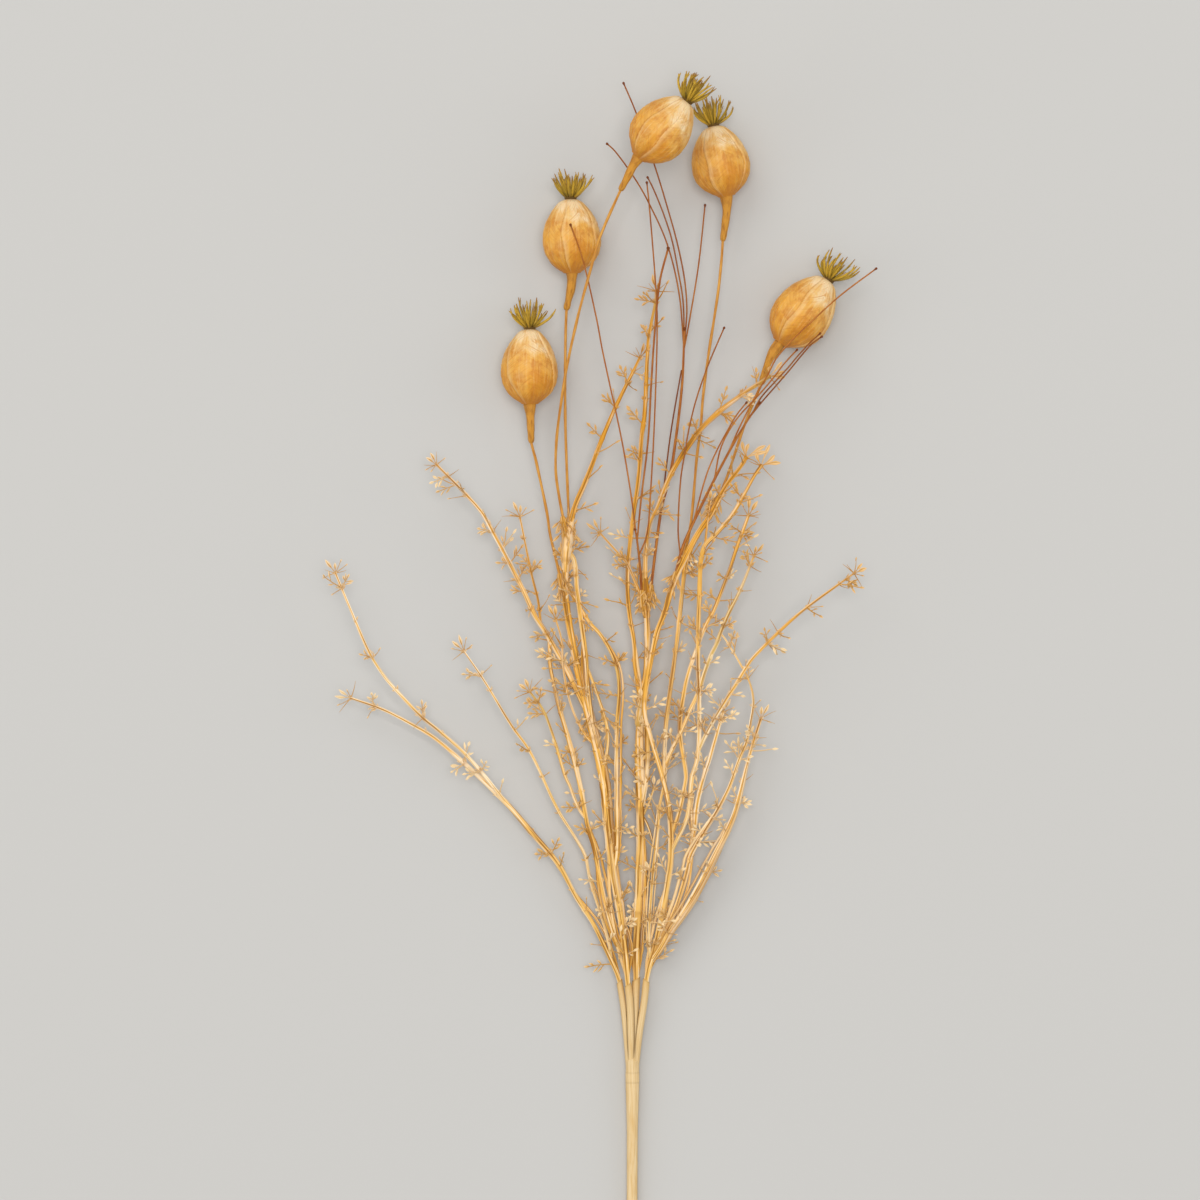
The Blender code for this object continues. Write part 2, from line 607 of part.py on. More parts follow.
def lay_bristles(number, poppy):
    """Start and end of every bristle of a crown, as spikes of a leaning fan."""
    seat, axis, _ = pod_frame(poppy)
    draw = random.Random(100 + number)
    lean_axis = Matrix.Rotation(-math.radians(poppy.turn), 3, "Z") @ axis
    across = lean_axis.cross(Vector((0, 0, 1))).normalized()
    up = across.cross(lean_axis).normalized()
    top = seat + axis * (GAP + CROWN_COLLAR_HEIGHT * 0.5)
    bristles = []
    for index in range(BRISTLES):
        share = math.sqrt((index + 0.5) / BRISTLES)
        angle = index * GOLDEN_ANGLE
        outward = across * math.cos(angle) + up * math.sin(angle)
        lean = share * BRISTLE_LEAN + draw.uniform(-0.16, 0.16)
        length = draw.uniform(*BRISTLE_LENGTHS)
        start = top + outward * CROWN_COLLAR_RADIUS * 0.78 * share
        direction = lean_axis * math.cos(lean) + outward * math.sin(lean)
        if direction.angle(axis) > BRISTLE_MOST_LEAN:
            aside = (direction - axis * direction.dot(axis)).normalized()
            direction = axis * math.cos(BRISTLE_MOST_LEAN) + aside * math.sin(BRISTLE_MOST_LEAN)
        end = start + direction * length
        if end.z > LOWEST_TRIM:
            bristles.append((start, end))
    return bristles


# Trimmings of the twigs: sprigs of leaflets, fans at the tips, and needles

def whorl_frame(direction):
    across = direction.cross(Vector((0, 0, 1))).normalized()
    return across, across.cross(direction).normalized()


def turned(angle):
    return Vector((math.cos(angle), math.sin(angle)))


def leaflet_end(start, way, length):
    """The broad outer end of a leaflet, in the order of its outline."""
    across = Vector((-way.y, way.x)) * LEAFLET_WIDTH / 2
    return [start + way * length + across, start + way * length - across]


def sprig(base, way, normal, draw):
    """A short stalk that ends in one leaflet, with a pair of leaflets below it."""
    stalk = draw.uniform(*SPRIG_STALKS)
    half = STALK_WIDTH / 2
    stalk_end = Vector((stalk, 0))
    end_length = draw.uniform(*LEAFLET_LENGTHS)
    rods = [(Vector((0, 0)), stalk_end), (stalk_end, stalk_end + Vector((end_length, 0)))]
    edges = []
    for side in (1, -1):
        place = stalk - LEAFLET_PITCH + draw.uniform(-0.6, 0.4)
        leaf_way = turned(math.radians(draw.uniform(44, 58)) * side)
        length = draw.uniform(*LEAFLET_LENGTHS)
        start = Vector((place, half * side))
        joint = start + Vector((LEAFLET_NECK, 0))
        near, far = (start, joint) if side > 0 else (joint, start)
        edges.append([near, *leaflet_end(start, leaf_way, length), far])
        rods.append((start, start + leaf_way * length))
    outline = [Vector((0, half)), *edges[0], *leaflet_end(stalk_end, turned(0), end_length),
               *edges[1], Vector((0, -half))]
    return flat_trim("sprig", base, way, normal, outline, rods)


def fan(base, way, normal, draw):
    """The cluster at a branch's tip: leaflets that spread from one point."""
    outline = [Vector((-1.2, 0.45))]
    rods = []
    for index, splay in enumerate(FAN_SPLAYS):
        angle = math.radians(splay + draw.uniform(-4, 4))
        reach = draw.uniform(*FAN_REACHES)
        if index:
            between = math.radians((splay + FAN_SPLAYS[index - 1]) / 2)
            outline.append(turned(between) * FAN_NOTCH)
        outline += leaflet_end(Vector((0, 0)), turned(angle), reach)
        rods.append((Vector((0, 0)), turned(angle) * reach))
    outline.append(Vector((-1.2, -0.45)))
    return flat_trim("fan", base, way, normal, outline, rods)


def flat_trim(kind, base, way, normal, outline, flat_rods):
    """A trimming with a flat outline, and the rods by which its clearance is judged."""
    across = normal.cross(way).normalized()
    rods = [tuple(base + way * flat.x + across * flat.y for flat in rod) for rod in flat_rods]
    return Trim(kind, base, way, normal, outline, rods)


def needle(base, way, normal, draw):
    end = base + way * draw.uniform(*NEEDLE_LENGTHS)
    return Trim("needle", base, way, normal, None, [(base, end)])


WHORL_KINDS = ((sprig, needle), (sprig, sprig), (sprig,))
WHORL_SHARES = (7, 1, 2)


def lay_whorl(node, base, direction, draw, surroundings):
    """One whorl: a sprig with a needle, with another or alone, each drawn until it is clear."""
    across, up = whorl_frame(direction)
    laid = []
    wanted = draw.choices(WHORL_KINDS, WHORL_SHARES)[0]
    side = draw.choice((-1, 1))
    for make in wanted:
        for attempt in range(WHORL_TRIES):
            turn = math.radians(draw.uniform(-45, 45))
            outward = (across * math.cos(turn) + up * math.sin(turn)) * side
            lean = math.radians(draw.uniform(46, 76) if make is sprig else draw.uniform(66, 100))
            way = (direction * math.cos(lean) + outward * math.sin(lean)).normalized()
            normal = way.cross(direction).normalized()
            trim = make(base, way, normal, draw)
            if surroundings.accepts(node, trim):
                laid.append(trim)
                break
            side = -side
        side = -side
    return laid


def lay_tip(node, base, direction, draw, surroundings):
    """The fan and the two needles at a branch's tip, where they are clear."""
    across, up = whorl_frame(direction)
    normal = (up + across * draw.uniform(-0.5, 0.5)).normalized()
    trims = [fan(base, direction, normal, draw)]
    for side in (-1, 1):
        lean = math.radians(draw.uniform(70, 105)) * side
        trims.append(needle(base, direction * math.cos(lean) + across * math.sin(lean), up, draw))
    return [trim for trim in trims if surroundings.accepts(node, trim)]


def lay_trims(node, seed, branches, laid, surroundings):
    """All trimmings of one twig, in the order of its branches."""
    draw = random.Random(seed)
    trims = []
    for name, item in branches.items():
        places, _ = laid[name]
        total = lengths_along(places)[-1]
        if item.tip:
            direction = (places[-1] - places[-2]).normalized()
            trims += lay_tip(node, places[-1], direction, draw, surroundings)
        shares = np.linspace(0.12, 0.93, item.whorls) if item.whorls > 1 else [0.5] * item.whorls
        for share in shares:
            place = (float(share) + draw.uniform(-0.03, 0.03)) * total
            base, direction = along_route(places, place)
            if base.y > spot(0, BARE_FOOT_PIXEL, 0).y:
                trims += lay_whorl(node, base, direction, draw, surroundings)
    return trims


# Solids

def add_object(name, mesh, group):
    item = bpy.data.objects.new(name, mesh)
    group.objects.link(item)
    return item


def mesh_from(form):
    mesh = bpy.data.meshes.new("form")
    form.to_mesh(mesh)
    form.free()
    return mesh


def tube(name, places, radii, group, resolution=THICK_ROD):
    """A rod along places in millimetres, with its end caps welded."""
    curve = bpy.data.curves.new(name, "CURVE")
    curve.dimensions = "3D"
    curve.bevel_depth = MM
    curve.bevel_resolution = resolution
    curve.use_fill_caps = True
    line = curve.splines.new("POLY")
    line.points.add(len(places) - 1)
    for point, place, radius in zip(line.points, places, radii):
        point.co = (*(place * MM), 1)
        point.radius = radius
    return solid_from_curve(name, curve, Matrix.Identity(4), group)


def solid_from_curve(name, curve, matrix, group):
    """The mesh of a curve with its caps welded, moved by a matrix."""
    guide = add_object(name, curve, group)
    bpy.context.view_layer.update()
    mesh = bpy.data.meshes.new_from_object(guide.evaluated_get(bpy.context.evaluated_depsgraph_get()))
    bpy.data.objects.remove(guide, do_unlink=True)
    form = bmesh.new()
    form.from_mesh(mesh)
    bmesh.ops.remove_doubles(form, verts=form.verts, dist=1e-6)
    bmesh.ops.transform(form, matrix=matrix, verts=form.verts)
    bmesh.ops.recalc_face_normals(form, faces=form.faces)
    form.to_mesh(mesh)
    form.free()
    return add_object(name, mesh, group)


def placed(start, end, side):
    """A matrix whose Z runs from start to end and whose X lies on the given side."""
    z = (end - start).normalized()
    y = z.cross(side).normalized()
    x = y.cross(z).normalized()
    turn = Matrix((x, y, z)).transposed().to_4x4()
    return Matrix.Translation((start + end) / 2 * MM) @ turn


def any_side(start, end):
    along = (end - start).normalized()
    across = along.cross(Vector((0, 0, 1)))
    return across.normalized() if across.length > 0.1 else Vector((1, 0, 0))


def spike(name, start, end, radii, group, sides=3):
    form = bmesh.new()
    bmesh.ops.create_cone(
        form, cap_ends=True, segments=sides, radius1=radii[0] * MM, radius2=radii[1] * MM,
        depth=(end - start).length * MM, matrix=placed(start, end, any_side(start, end)))
    return add_object(name, mesh_from(form), group)


def plate(name, trim, group):
    """A thin flat solid with a trimming's outline."""
    curve = bpy.data.curves.new(name, "CURVE")
    curve.dimensions = "2D"
    curve.fill_mode = "BOTH"
    curve.extrude = TRIM_THICKNESS / 2 * MM
    line = curve.splines.new("POLY")
    line.points.add(len(trim.outline) - 1)
    line.use_cyclic_u = True
    for point, flat in zip(line.points, trim.outline):
        point.co = (flat.x * MM, flat.y * MM, 0, 1)
    across = trim.normal.cross(trim.way).normalized()
    turn = Matrix((trim.way, across, trim.way.cross(across))).transposed().to_4x4()
    return solid_from_curve(name, curve, Matrix.Translation(trim.base * MM) @ turn, group)


def remove_group(group):
    for item in list(group.objects):
        bpy.data.objects.remove(item, do_unlink=True)
    bpy.data.collections.remove(group)


def apply_boolean(target, operation, group, solver):
    """Join or cut a target with everything in a collection, and apply it."""
    change = target.modifiers.new("change", "BOOLEAN")
    change.operation = operation
    change.operand_type = "COLLECTION"
    change.collection = group
    change.solver = solver
    bpy.context.view_layer.update()
    evaluated = target.evaluated_get(bpy.context.evaluated_depsgraph_get())
    mesh = bpy.data.meshes.new_from_object(evaluated)
    target.modifiers.clear()
    target.data = mesh


def finish_solid(target, material):
    """Melt the edges inside flat areas, split to triangles and shade smooth."""
    form = bmesh.new()
    form.from_mesh(target.data)
    bmesh.ops.dissolve_limit(
        form, angle_limit=math.radians(FLAT_ANGLE), verts=form.verts, edges=form.edges)
    bmesh.ops.triangulate(form, faces=form.faces)
    form.to_mesh(target.data)
    form.free()
    target.data.materials.clear()
    target.data.materials.append(material)
    target.data.shade_smooth()
    target.data.set_sharp_from_angle(angle=math.radians(SMOOTH_ANGLE))


def fuse(name, build_pieces, cut_pieces, spray, material, solver="EXACT"):
    """One node: its pieces joined in one union, then its holes cut in one difference."""
    joined = make_collection(name + "_pieces")
    cutters = make_collection(name + "_cutters")
    first = build_pieces(joined)
    joined.objects.unlink(first)
    spray.objects.link(first)
    if joined.objects:
        apply_boolean(first, "UNION", joined, solver)
    cut_pieces(cutters)
    for cutter in cutters.objects:
        cutter.hide_render = True
        cutter.display_type = "WIRE"
    if cutters.objects:
        apply_boolean(first, "DIFFERENCE", cutters, solver)
    remove_group(joined)
    remove_group(cutters)
    finish_solid(first, material)
    first.name = name
    return first


def trim_solids(trims, group):
    for trim in trims:
        if trim.kind == "needle":
            spike("needle", *trim.rods[0], NEEDLE_RADII, group)
        else:
            plate(trim.kind, trim, group)


def table_cutter(group):
    """What lies below the surface, which cuts a small flat on whatever rests on it."""
    form = bmesh.new()
    below = Matrix.Translation((0, 0, -0.02)) @ Matrix.Diagonal((1.2, 1.2, 0.04, 1))
    bmesh.ops.create_cube(form, size=1, matrix=below)
    add_object("below_surface", mesh_from(form), group)


def pod_body(poppy, group):
    """The pod: a turned outline whose petals stand out in turn, swept round the axis."""
    seat, axis, length = pod_frame(poppy)
    form = bmesh.new()
    spine = [form.verts.new((share_r * poppy.radius * MM, 0, -share * length * MM))
             for share, share_r in POD_OUTLINE]
    for near, far in zip(spine, spine[1:]):
        form.edges.new((near, far))
    shell = add_object("pod_body", mesh_from(form), group)
    turned = shell.modifiers.new("turned", "SCREW")
    turned.steps = POD_SIDES
    turned.render_steps = POD_SIDES
    turned.use_merge_vertices = True
    turned.merge_threshold = 1e-6
    bpy.context.view_layer.update()
    mesh = bpy.data.meshes.new_from_object(shell.evaluated_get(bpy.context.evaluated_depsgraph_get()))
    shell.modifiers.clear()
    form = bmesh.new()
    form.from_mesh(mesh)
    bmesh.ops.holes_fill(form, edges=[edge for edge in form.edges if edge.is_boundary])
    for vert in form.verts:
        share = -vert.co.z / (length * MM)
        vert.co.xy *= 1 + petal_relief(math.atan2(vert.co.y, vert.co.x), share) / poppy.radius
    side = Vector((0, 0, 1))
    bmesh.ops.transform(
        form, verts=form.verts,
        matrix=Matrix.Translation(seat * MM) @ turn_to(axis, side))
    bmesh.ops.recalc_face_normals(form, faces=form.faces)
    form.to_mesh(mesh)
    form.free()
    shell.data = mesh
    return shell


def petal_relief(angle, share):
    """How far a petal stands out: it rises round the pod and drops at its free edge."""
    turns = PETALS * angle / (2 * math.pi) + PETAL_TWIST * share
    rise = turns - math.floor(turns)
    fade = math.sin(math.pi * min(1, max(0, share)))
    return PETAL_STEP * (rise - 0.5) * fade


def turn_to(axis, side):
    """A turn that takes +Z to the axis."""
    y = axis.cross(side).normalized()
    x = y.cross(axis).normalized()
    return Matrix((x, y, axis)).transposed().to_4x4()


def make_pod(number, poppy, laid, spray, material):
    seat, axis, _ = pod_frame(poppy)
    neck, neck_radii, stem, _ = laid

    def pieces(group):
        body = pod_body(poppy, group)
        tube("neck", neck, neck_radii, group)
        return body

    def cuts(group):
        radius = CROWN_PEG_RADIUS + GAP
        spike("seat_hole", seat - axis * (CROWN_PEG_DEPTH + GAP), seat + axis * 2, (radius, radius),
              group, sides=12)
        hole = [*route_end(list(reversed(stem[:4])), NECK_SOCKET_DEPTH + 2, GAP)]
        tube("stem_hole", hole, [STEM_RADIUS + GAP] * len(hole), group)
        if poppy.rests:
            table_cutter(group)

    return fuse(f"pod_{number}", pieces, cuts, spray, material)


def make_crown(number, poppy, bristles, spray, material):
    seat, axis, _ = pod_frame(poppy)

    def pieces(group):
        foot = seat - axis * CROWN_PEG_DEPTH
        base = seat + axis * GAP
        top = base + axis * CROWN_COLLAR_HEIGHT
        peg = spike("peg", foot, base + axis * 0.5, (CROWN_PEG_RADIUS, CROWN_PEG_RADIUS), group, sides=8)
        spike("collar", base, top, (CROWN_COLLAR_RADIUS, CROWN_COLLAR_RADIUS * 0.8), group, sides=9)
        for start, end in bristles:
            spike("bristle", start, end, BRISTLE_RADII, group)
        return peg

    return fuse(f"crown_{number}", pieces, lambda group: None, spray, material)


def make_rods(name, routes, sockets, trims, spray, material, solver="EXACT"):
    """A node of joined rods and trimmings, with a hole for each stem that stands in it."""

    def pieces(group):
        rods = [tube("rod", places, radii, group, sides) for places, radii, sides in routes]
        for places in sockets:
            boss = route_end(places, SOCKET_DEPTH, 1.6)
            radius = STEM_RADIUS + GAP + SOCKET_WALL
            tube("socket", boss, [radius] * len(boss), group)
        trim_solids(trims, group)
        return rods[0]

    def cuts(group):
        for places in sockets:
            hole = route_end(places, SOCKET_DEPTH + SOCKET_APPROACH, GAP)
            tube("hole", hole, [STEM_RADIUS + GAP] * len(hole), group)

    return fuse(name, pieces, cuts, spray, material, solver)


def make_main_stem(feet, spray, material):
    places = [spot(x, y, height) for (x, y), height in zip(MAIN_STEM_ROUTE, MAIN_STEM_HEIGHTS)]
    sleeves = []
    for name, route in SLEEVES.items():
        foot_places, foot_radii = feet[name]
        mouth_height = foot_places[1].z
        sleeve, _ = lay_route(route, (mouth_height, SLEEVE_BASE_HEIGHT), (1,))
        radius = foot_radii[0] + GAP + SLEEVE_WALL
        sleeves.append((sleeve, [radius] * len(sleeve)))

    def pieces(group):
        stem = tube("stem", places, MAIN_STEM_RADII, group, ROUND_ROD)
        for sleeve, radii in sleeves:
            tube("sleeve", sleeve, radii, group, ROUND_ROD)
        return stem

    def cuts(group):
        for foot_places, foot_radii in feet.values():
            hole = route_end(list(reversed(foot_places[:3])), FOOT_DEPTH + 2, GAP)
            tube("hole", hole, [foot_radii[0] + GAP] * len(hole), group)
        table_cutter(group)

    return fuse("main_stem", pieces, cuts, spray, material)


def lay_everything():
    """Routes of all nodes, and the surroundings that trimmings have to keep clear of."""
    surroundings = Surroundings()
    twigs = {name: lay_branches(branches) for name, branches in TWIGS.items()}
    for name, laid in twigs.items():
        places, radii = laid["main" if "main" in laid else "low"]
        radii[0] = radii[1]
        for places, radii in laid.values():
            surroundings.lay_route(name, places, radii)
    poppies = {number: lay_poppy(poppy) for number, poppy in POPPIES.items()}
    crowns = {number: lay_bristles(number, poppy) for number, poppy in POPPIES.items()}
    for number, poppy in POPPIES.items():
        neck, neck_radii, stem, stem_radii = poppies[number]
        surroundings.lay_route(f"pod_{number}", neck, neck_radii)
        surroundings.lay_route(f"poppy_stem_{number}", stem, stem_radii)
        seat, axis, length = pod_frame(poppy)
        for near, far in zip(POD_OUTLINE, POD_OUTLINE[1:]):
            surroundings.lay(f"pod_{number}", seat - axis * length * near[0],
                             seat - axis * length * far[0], max(near[1], far[1]) * poppy.radius)
        for start, end in crowns[number]:
            surroundings.lay(f"crown_{number}", start, end, BRISTLE_RADII[0])
    wisps = {name: lay_branches(hairs) for name, (_, hairs) in WISPS.items()}
    for name, laid in wisps.items():
        for places, radii in laid.values():
            surroundings.lay_route(name, places, radii)
    stem_places = [spot(x, y, h) for (x, y), h in zip(MAIN_STEM_ROUTE, MAIN_STEM_HEIGHTS)]
    surroundings.lay_route("main_stem", stem_places, MAIN_STEM_RADII)
    surroundings.settle()
    trims = {}
    for seed, (name, branches) in enumerate(TWIGS.items(), start=1):
        trims[name] = lay_trims(name, seed, branches, twigs[name], surroundings)
    return twigs, poppies, crowns, wisps, trims, surroundings


def main():
    clear_scene()
    spray = make_collection("poppy_seed_head_spray")
    straw = make_material("straw_tape", STRAW)
    gold = make_material("golden_twig", GOLD)
    pod_gold = make_material("papery_pod", POD_GOLD)
    olive = make_material("olive_bristle", OLIVE)
    brown = make_material("brown_wire", WIRE_BROWN)
    red = make_material("red_wire", WISP_RED)
    twigs, poppies, crowns, wisps, trims, _ = lay_everything()

    stems_by_host = {name: [] for name in TWIGS}
    for number, poppy in POPPIES.items():
        stems_by_host[poppy.host].append(poppies[number][2])
    for name, (host, _) in WISPS.items():
        stems_by_host[host].append(list(reversed(wisps[name]["stem"][0])))

    feet = {}
    for name, laid in twigs.items():
        places, radii = laid["main" if "main" in laid else "low"]
        feet[name] = (places, radii)
        routes = [(*route, THICK_ROD if max(route[1]) > THICK_RADIUS else THIN_ROD)
                  for route in laid.values()]
        make_rods(name, routes, stems_by_host[name], trims[name], spray, gold, "MANIFOLD")
    make_main_stem(feet, spray, straw)
    for number, poppy in POPPIES.items():
        make_pod(number, poppy, poppies[number], spray, pod_gold)
        make_crown(number, poppy, crowns[number], spray, olive)
        _, _, stem, radii = poppies[number]
        make_rods(f"poppy_stem_{number}", [(stem, radii, THICK_ROD)], [], [], spray, brown)
    for name in WISPS:
        routes = [(*route, THIN_ROD) for route in wisps[name].values()]
        make_rods(name, routes, [], [], spray, red)


if __name__ == "__main__":
    main()
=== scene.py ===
"""Looks of the dried poppy seed head spray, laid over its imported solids.

The routes, the seeded draws and the layout repeat those of the solids, so each smooth
piece lies where its solid is. Shapes are in millimetres until they become a mesh.
"""

import math
import random
from collections import namedtuple

import bmesh
import bpy
import numpy as np
from mathutils import Vector, Matrix


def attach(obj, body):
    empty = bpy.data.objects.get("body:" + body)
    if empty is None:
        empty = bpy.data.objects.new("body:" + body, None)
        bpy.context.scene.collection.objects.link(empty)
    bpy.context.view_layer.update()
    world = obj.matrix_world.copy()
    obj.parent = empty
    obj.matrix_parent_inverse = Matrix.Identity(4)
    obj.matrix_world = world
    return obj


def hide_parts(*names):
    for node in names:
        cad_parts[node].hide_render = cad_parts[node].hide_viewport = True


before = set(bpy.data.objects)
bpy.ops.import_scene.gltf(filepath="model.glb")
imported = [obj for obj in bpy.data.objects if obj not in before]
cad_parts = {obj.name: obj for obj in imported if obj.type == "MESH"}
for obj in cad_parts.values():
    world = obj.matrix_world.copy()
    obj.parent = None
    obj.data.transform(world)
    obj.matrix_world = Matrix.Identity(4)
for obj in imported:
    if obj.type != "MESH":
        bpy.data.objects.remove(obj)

# Driving dimensions
MM = 0.001
PIXEL = 0.65 * MM
MIDDLE_X = 599.5
MIDDLE_Y = 670.9
BARE_FOOT_PIXEL = 955
GAP = 0.3
CLEARANCE = 0.6
LOWEST_TRIM = 1.2

# Main stem
SLEEVE_WALL = 0.75

# Poppy heads
STEM_RADIUS = 1.05
NECK_RADII = (4.3, 3.3, 2.7, 2.3, 2.0)
NECK_SOCKET_DEPTH = 9.0
SOCKET_DEPTH = 10.0
SOCKET_WALL = 0.75
PETALS = 4
PETAL_TWIST = 0.35
CROWN_PEG_RADIUS = 3.3
CROWN_PEG_DEPTH = 5.0
CROWN_COLLAR_RADIUS = 4.8
CROWN_COLLAR_HEIGHT = 1.8
BRISTLES = 24
BRISTLE_RADII = (0.6, 0.36)
BRISTLE_LENGTHS = (14.0, 21.0)
BRISTLE_LEAN = math.radians(52)
BRISTLE_MOST_LEAN = math.radians(62)
GOLDEN_ANGLE = math.radians(137.5)

# Pod outline from the crown's seat to the neck: share of the length, share of the radius
POD_OUTLINE = (
    (0.0, 0.27),
    (0.05, 0.42),
    (0.16, 0.66),
    (0.30, 0.86),
    (0.45, 0.97),
    (0.60, 1.0),
    (0.74, 0.93),
    (0.86, 0.74),
    (0.94, 0.50),
    (1.0, 0.25),
)

LEAST_BEND = 0.25
FOOT_PLACES = 2

# Twig trimmings
LEAFLET_LENGTHS = (3.4, 5.0)
LEAFLET_WIDTH = 1.8
LEAFLET_NECK = 0.9
STALK_WIDTH = 0.9
SPRIG_STALKS = (6.0, 9.0)
LEAFLET_PITCH = 1.8
NEEDLE_LENGTHS = (7.0, 13.0)
FAN_SPLAYS = (48, 16, -16, -48)
FAN_REACHES = (5.0, 8.0)
FAN_NOTCH = 1.5
TRIM_RADIUS = 0.5
ROOT_REACH = 1.5
WHORL_TRIES = 8

Branch = namedtuple("Branch", "points heights radii start_on end_on whorls tip")
Poppy = namedtuple("Poppy", "seat join radius height rise turn rests neck stem stem_heights host")
Hair = namedtuple("Hair", "points heights radii start_on knob")
Trim = namedtuple("Trim", "kind base way normal outline rods")


def branch(points, heights, radii, start_on=None, end_on=None, whorls=0, tip=False):
    """One forked branch: heights and radii are spread evenly along its route."""
    return Branch(points, heights, radii, start_on, end_on, whorls, tip)


# Routes of the twigs, from the foot outwards
TWIG_LEFT = {
    "low": branch(
        [(622, 999), (619.5, 982), (613, 965), (602, 942), (594, 926), (577, 899), (559, 866),
         (530, 831), (503, 800), (477, 776), (457, 757), (433, 737), (411, 724), (384, 710),
         (351, 698)],
        (9, 10, 13, 17, 21), (1.7, 1.6, 2.2, 1.5, 0.9), whorls=4, tip=True),
    "high": branch(
        [(508, 805), (482, 773), (462, 751), (438, 730), (422, 717), (401, 695), (386, 678),
         (370, 653), (350, 607), (336, 573)],
        (17, 21, 26, 30), (1.5, 1.4, 1.2, 0.9), start_on="low", whorls=4, tip=True),
    "inner": branch(
        [(612, 962), (609, 945), (603, 922), (597, 903), (590, 880), (585, 856), (575, 838),
         (557, 809), (530, 752), (511, 725), (485, 682), (464, 651)],
        (10, 11, 16, 22), (1.1, 1.1, 1.0, 0.7), start_on="low", whorls=2, tip=True),
}

TWIG_MID_LEFT = {
    "main": branch(
        [(630, 1003), (628, 985), (625, 950), (620, 915), (614, 880), (609, 845), (606, 815),
         (604, 790), (600, 765), (594, 740), (587, 712), (582, 690), (576, 660), (571, 635),
         (567, 610), (565, 585), (565.5, 560), (568, 535), (572, 518), (575, 506), (584, 485),
         (592, 464), (602, 439), (612, 415), (629, 380), (640, 358)],
        (12, 13, 15, 16.5, 17.5, 19, 21), (1.8, 2.6, 2.8, 2.5, 2.5, 1.7, 1.1), whorls=4, tip=True),
    "knot": branch(
        [(566, 572), (566, 556), (567.5, 540), (570, 526), (572.5, 514)],
        (17, 17.4, 18), (2.6, 4.4, 1.8), start_on="main", end_on="main"),
    "right": branch(
        [(567, 550), (574, 560), (577, 590), (580, 610), (583, 635), (586, 660), (588, 690),
         (591, 715), (595, 738)],
        (17.5, 19, 16), (1.8, 1.7, 1.8), start_on="main", end_on="main", whorls=2),
    "far": branch(
        [(586, 712), (578, 694), (569, 675), (559, 657), (546, 633), (535, 616), (525, 594),
         (508, 560), (494, 534), (480, 510), (460, 489), (437, 465)],
        (16, 19, 23, 27), (2.0, 1.9, 1.6, 1.0), start_on="main", whorls=5, tip=True),
    "fork": branch(
        [(541, 625), (538, 600), (532, 576), (526, 548), (520, 517)],
        (20, 24), (0.95, 0.75), start_on="far", whorls=1, tip=True),
    "thread": branch(
        [(593, 746), (586, 736), (578, 722), (572, 708), (567, 690), (563, 665), (561.5, 640),
         (556, 620)],
        (16, 19, 21), (1.0, 0.75), start_on="main", whorls=1, tip=True),
    "loop": branch(
        [(588, 665), (594, 685), (600, 702), (605, 718), (608, 735), (607, 752), (602, 775)],
        (18, 19, 15), (1.0, 1.2), start_on="right", end_on="main", whorls=1),
    "bow": branch(
        [(613, 874), (616.5, 850), (617, 830), (616.5, 800), (616.5, 760), (617, 725),
         (619, 700), (619, 682), (616, 665), (609, 648), (600, 634), (589, 622), (583, 612),
         (576, 600), (565, 585)],
        (13.5, 15, 18, 18, 17.5), (1.8, 1.6, 1.3, 1.3), start_on="main", end_on="main", whorls=4),
    "outer": branch(
        [(623, 955), (617, 942), (612, 927), (606, 907), (602, 888), (598, 868), (594, 848),
         (588, 828), (584, 808), (581, 790), (577, 772), (573, 755), (568, 737), (563, 720),
         (558, 703), (554, 685), (550, 665), (546, 640)],
        (13, 13.5, 15, 18), (1.6, 1.6, 1.9, 1.1), start_on="main", end_on="far", whorls=4),
    "side": branch(
        [(586, 820), (580, 811), (574, 798), (570, 787), (565, 776), (561, 762), (556, 745),
         (551, 731), (546, 716), (540, 705), (530, 692)],
        (14, 17, 22), (1.2, 1.1, 0.85), start_on="outer", whorls=2, tip=True),
}

